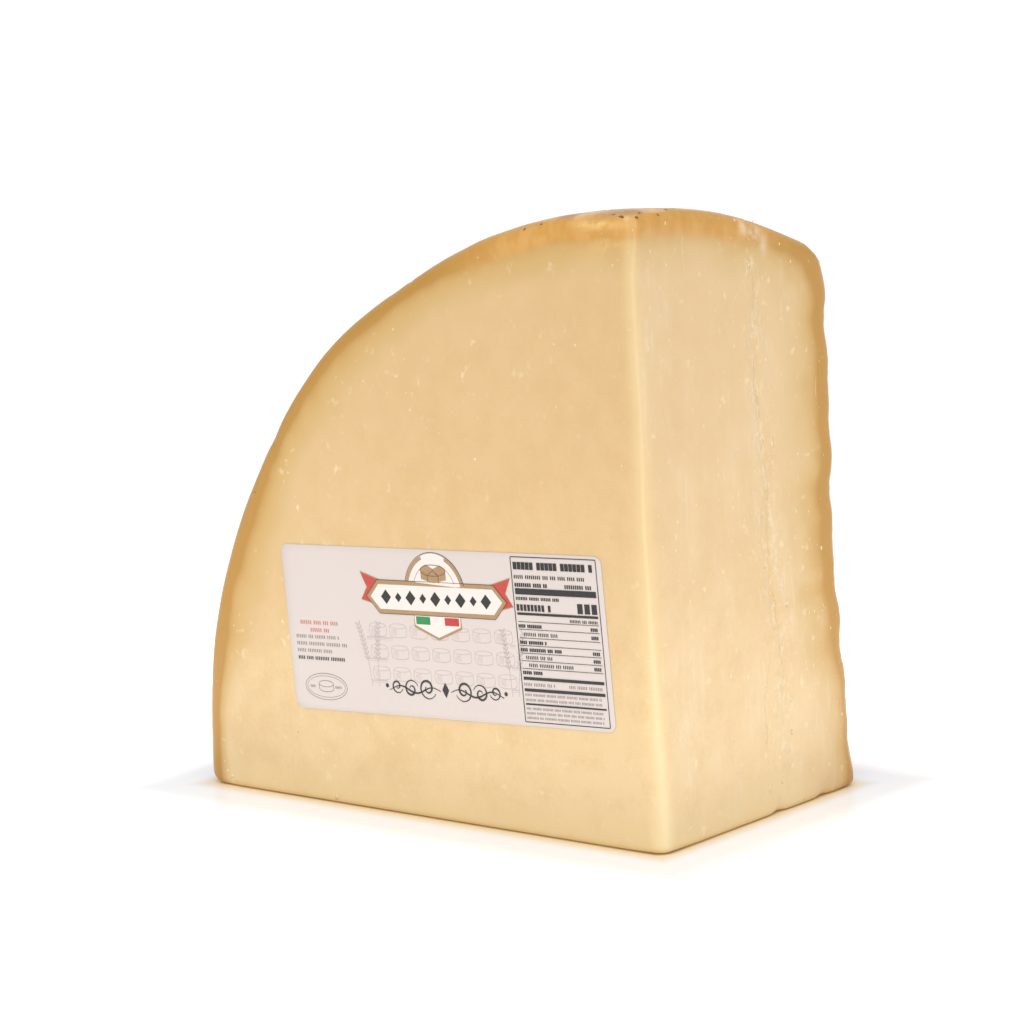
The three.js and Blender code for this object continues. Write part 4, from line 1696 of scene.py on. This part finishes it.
# %% [markdown]
# Floor and light. The piece stands on a white, slightly glossy table in a white room, as in
# product pictures with no background. A broad sun, as wide as a studio window, shines over the
# camera's shoulder from high up. It lights the table so strongly that it comes out white.
# Close round the piece a pool of light is painted into the table's emission, as on a lit table. That makes
# the cut faces lighter towards their foot, and it starts a finger's width from them. In that finger's width
# the table's colour and emission are painted darker and warmer: a painted contact shadow with painted warm
# light as if thrown up by the cheese.

# %% Floor and light
FLOOR_SIZE = 60.0
FLOOR_REACH = 50
# Painted shadow: the table's colour is darker close to the piece, and warm at its foot.
FLOOR_SHADOW_STOPS = (
    (0.0, (0.8, 0.67, 0.46, 1)),
    (0.06, (0.74, 0.71, 0.66, 1)),
    (0.1, (0.71, 0.73, 0.77, 1)),
    (0.16, (0.7, 0.71, 0.74, 1)),
    (0.28, (0.7, 0.71, 0.73, 1)),
    (0.6, (0.79, 0.79, 0.8, 1)),
    (1.0, (0.86, 0.86, 0.86, 1)),
)
# Emission of the painted contact shadow, of the table, and of the painted pool of light.
NEAR_SHADOW_GLOW = (0.07, 0.05, 0.025, 1)
GLOW_LOW = (0.18, 0.18, 0.18, 1)
LIGHT_POOL_GLOW = (1.0, 1.0, 1.0, 1)
LIGHT_POOL_START = (0.012, 0.06)
LIGHT_POOL_END = (0.05, 0.36)
SKY = 0.6
SUN_STRENGTH = 1.9
SUN_WIDTH = math.radians(55)
SUN_HEIGHT = math.radians(64)

floor_mesh = bpy.data.meshes.new("floor")
half = FLOOR_SIZE / 2
corners = [(-half, -half, 0), (half, -half, 0), (half, half, 0), (-half, half, 0)]
floor_mesh.from_pydata(corners, [], [(0, 1, 2, 3)])
floor = bpy.data.objects.new("floor", floor_mesh)
bpy.context.scene.collection.objects.link(floor)
table = Finish("table")
parts = table.add("SeparateXYZ", None, {"Vector": table.place()}, output="X")
parts_y = Value(table, parts.socket.node.outputs["Y"])
beyond = []
for part, reach in ((parts, cad_box[1].x), (parts_y, cad_box[1].y)):
    beyond.append(table.add("Math", {"operation": "ABSOLUTE"}, {0: part}) - reach)
away = beyond[0].math("MAXIMUM", *beyond)
# Painted light and shadow: a pool of light in the table's emission round the piece, and a darker, warmer
# painted contact shadow close to it.
light_pool = table.between(away, *LIGHT_POOL_START) * (1 - table.between(away, *LIGHT_POOL_END))
shadowed_glow = table.mix(table.between(away, 0, 0.7 * LIGHT_POOL_START[0]), NEAR_SHADOW_GLOW, GLOW_LOW)
floor_mesh.materials.append(
    table.surface(
        Base_Color=table.add("ValToRGB", {"stops": FLOOR_SHADOW_STOPS}, {"Fac": away * (1 / (FLOOR_REACH * MM))}),
        Roughness=0.32,
        Emission_Color=table.mix(light_pool, shadowed_glow, LIGHT_POOL_GLOW),
        Emission_Strength=1.0,
    )
)

world = bpy.data.worlds.new("white room")
world.use_nodes = True
world.node_tree.nodes["Background"].inputs["Color"].default_value = (1, 1, 1, 1)
world.node_tree.nodes["Background"].inputs["Strength"].default_value = SKY
bpy.context.scene.world = world

sun = bpy.data.lights.new("studio window", "SUN")
sun.energy = SUN_STRENGTH
sun.angle = SUN_WIDTH
window = bpy.data.objects.new("studio window", sun)
bpy.context.scene.collection.objects.link(window)
to_window = Vector((math.sin(CAMERA_YAW), -math.cos(CAMERA_YAW), math.tan(SUN_HEIGHT)))
window.rotation_euler = (-to_window).to_track_quat("-Z", "Y").to_euler()
bpy.context.scene.view_settings.view_transform = "Standard"
bpy.context.scene.view_settings.look = "None"
print("the window is", round(math.degrees(SUN_WIDTH)), "degrees wide")
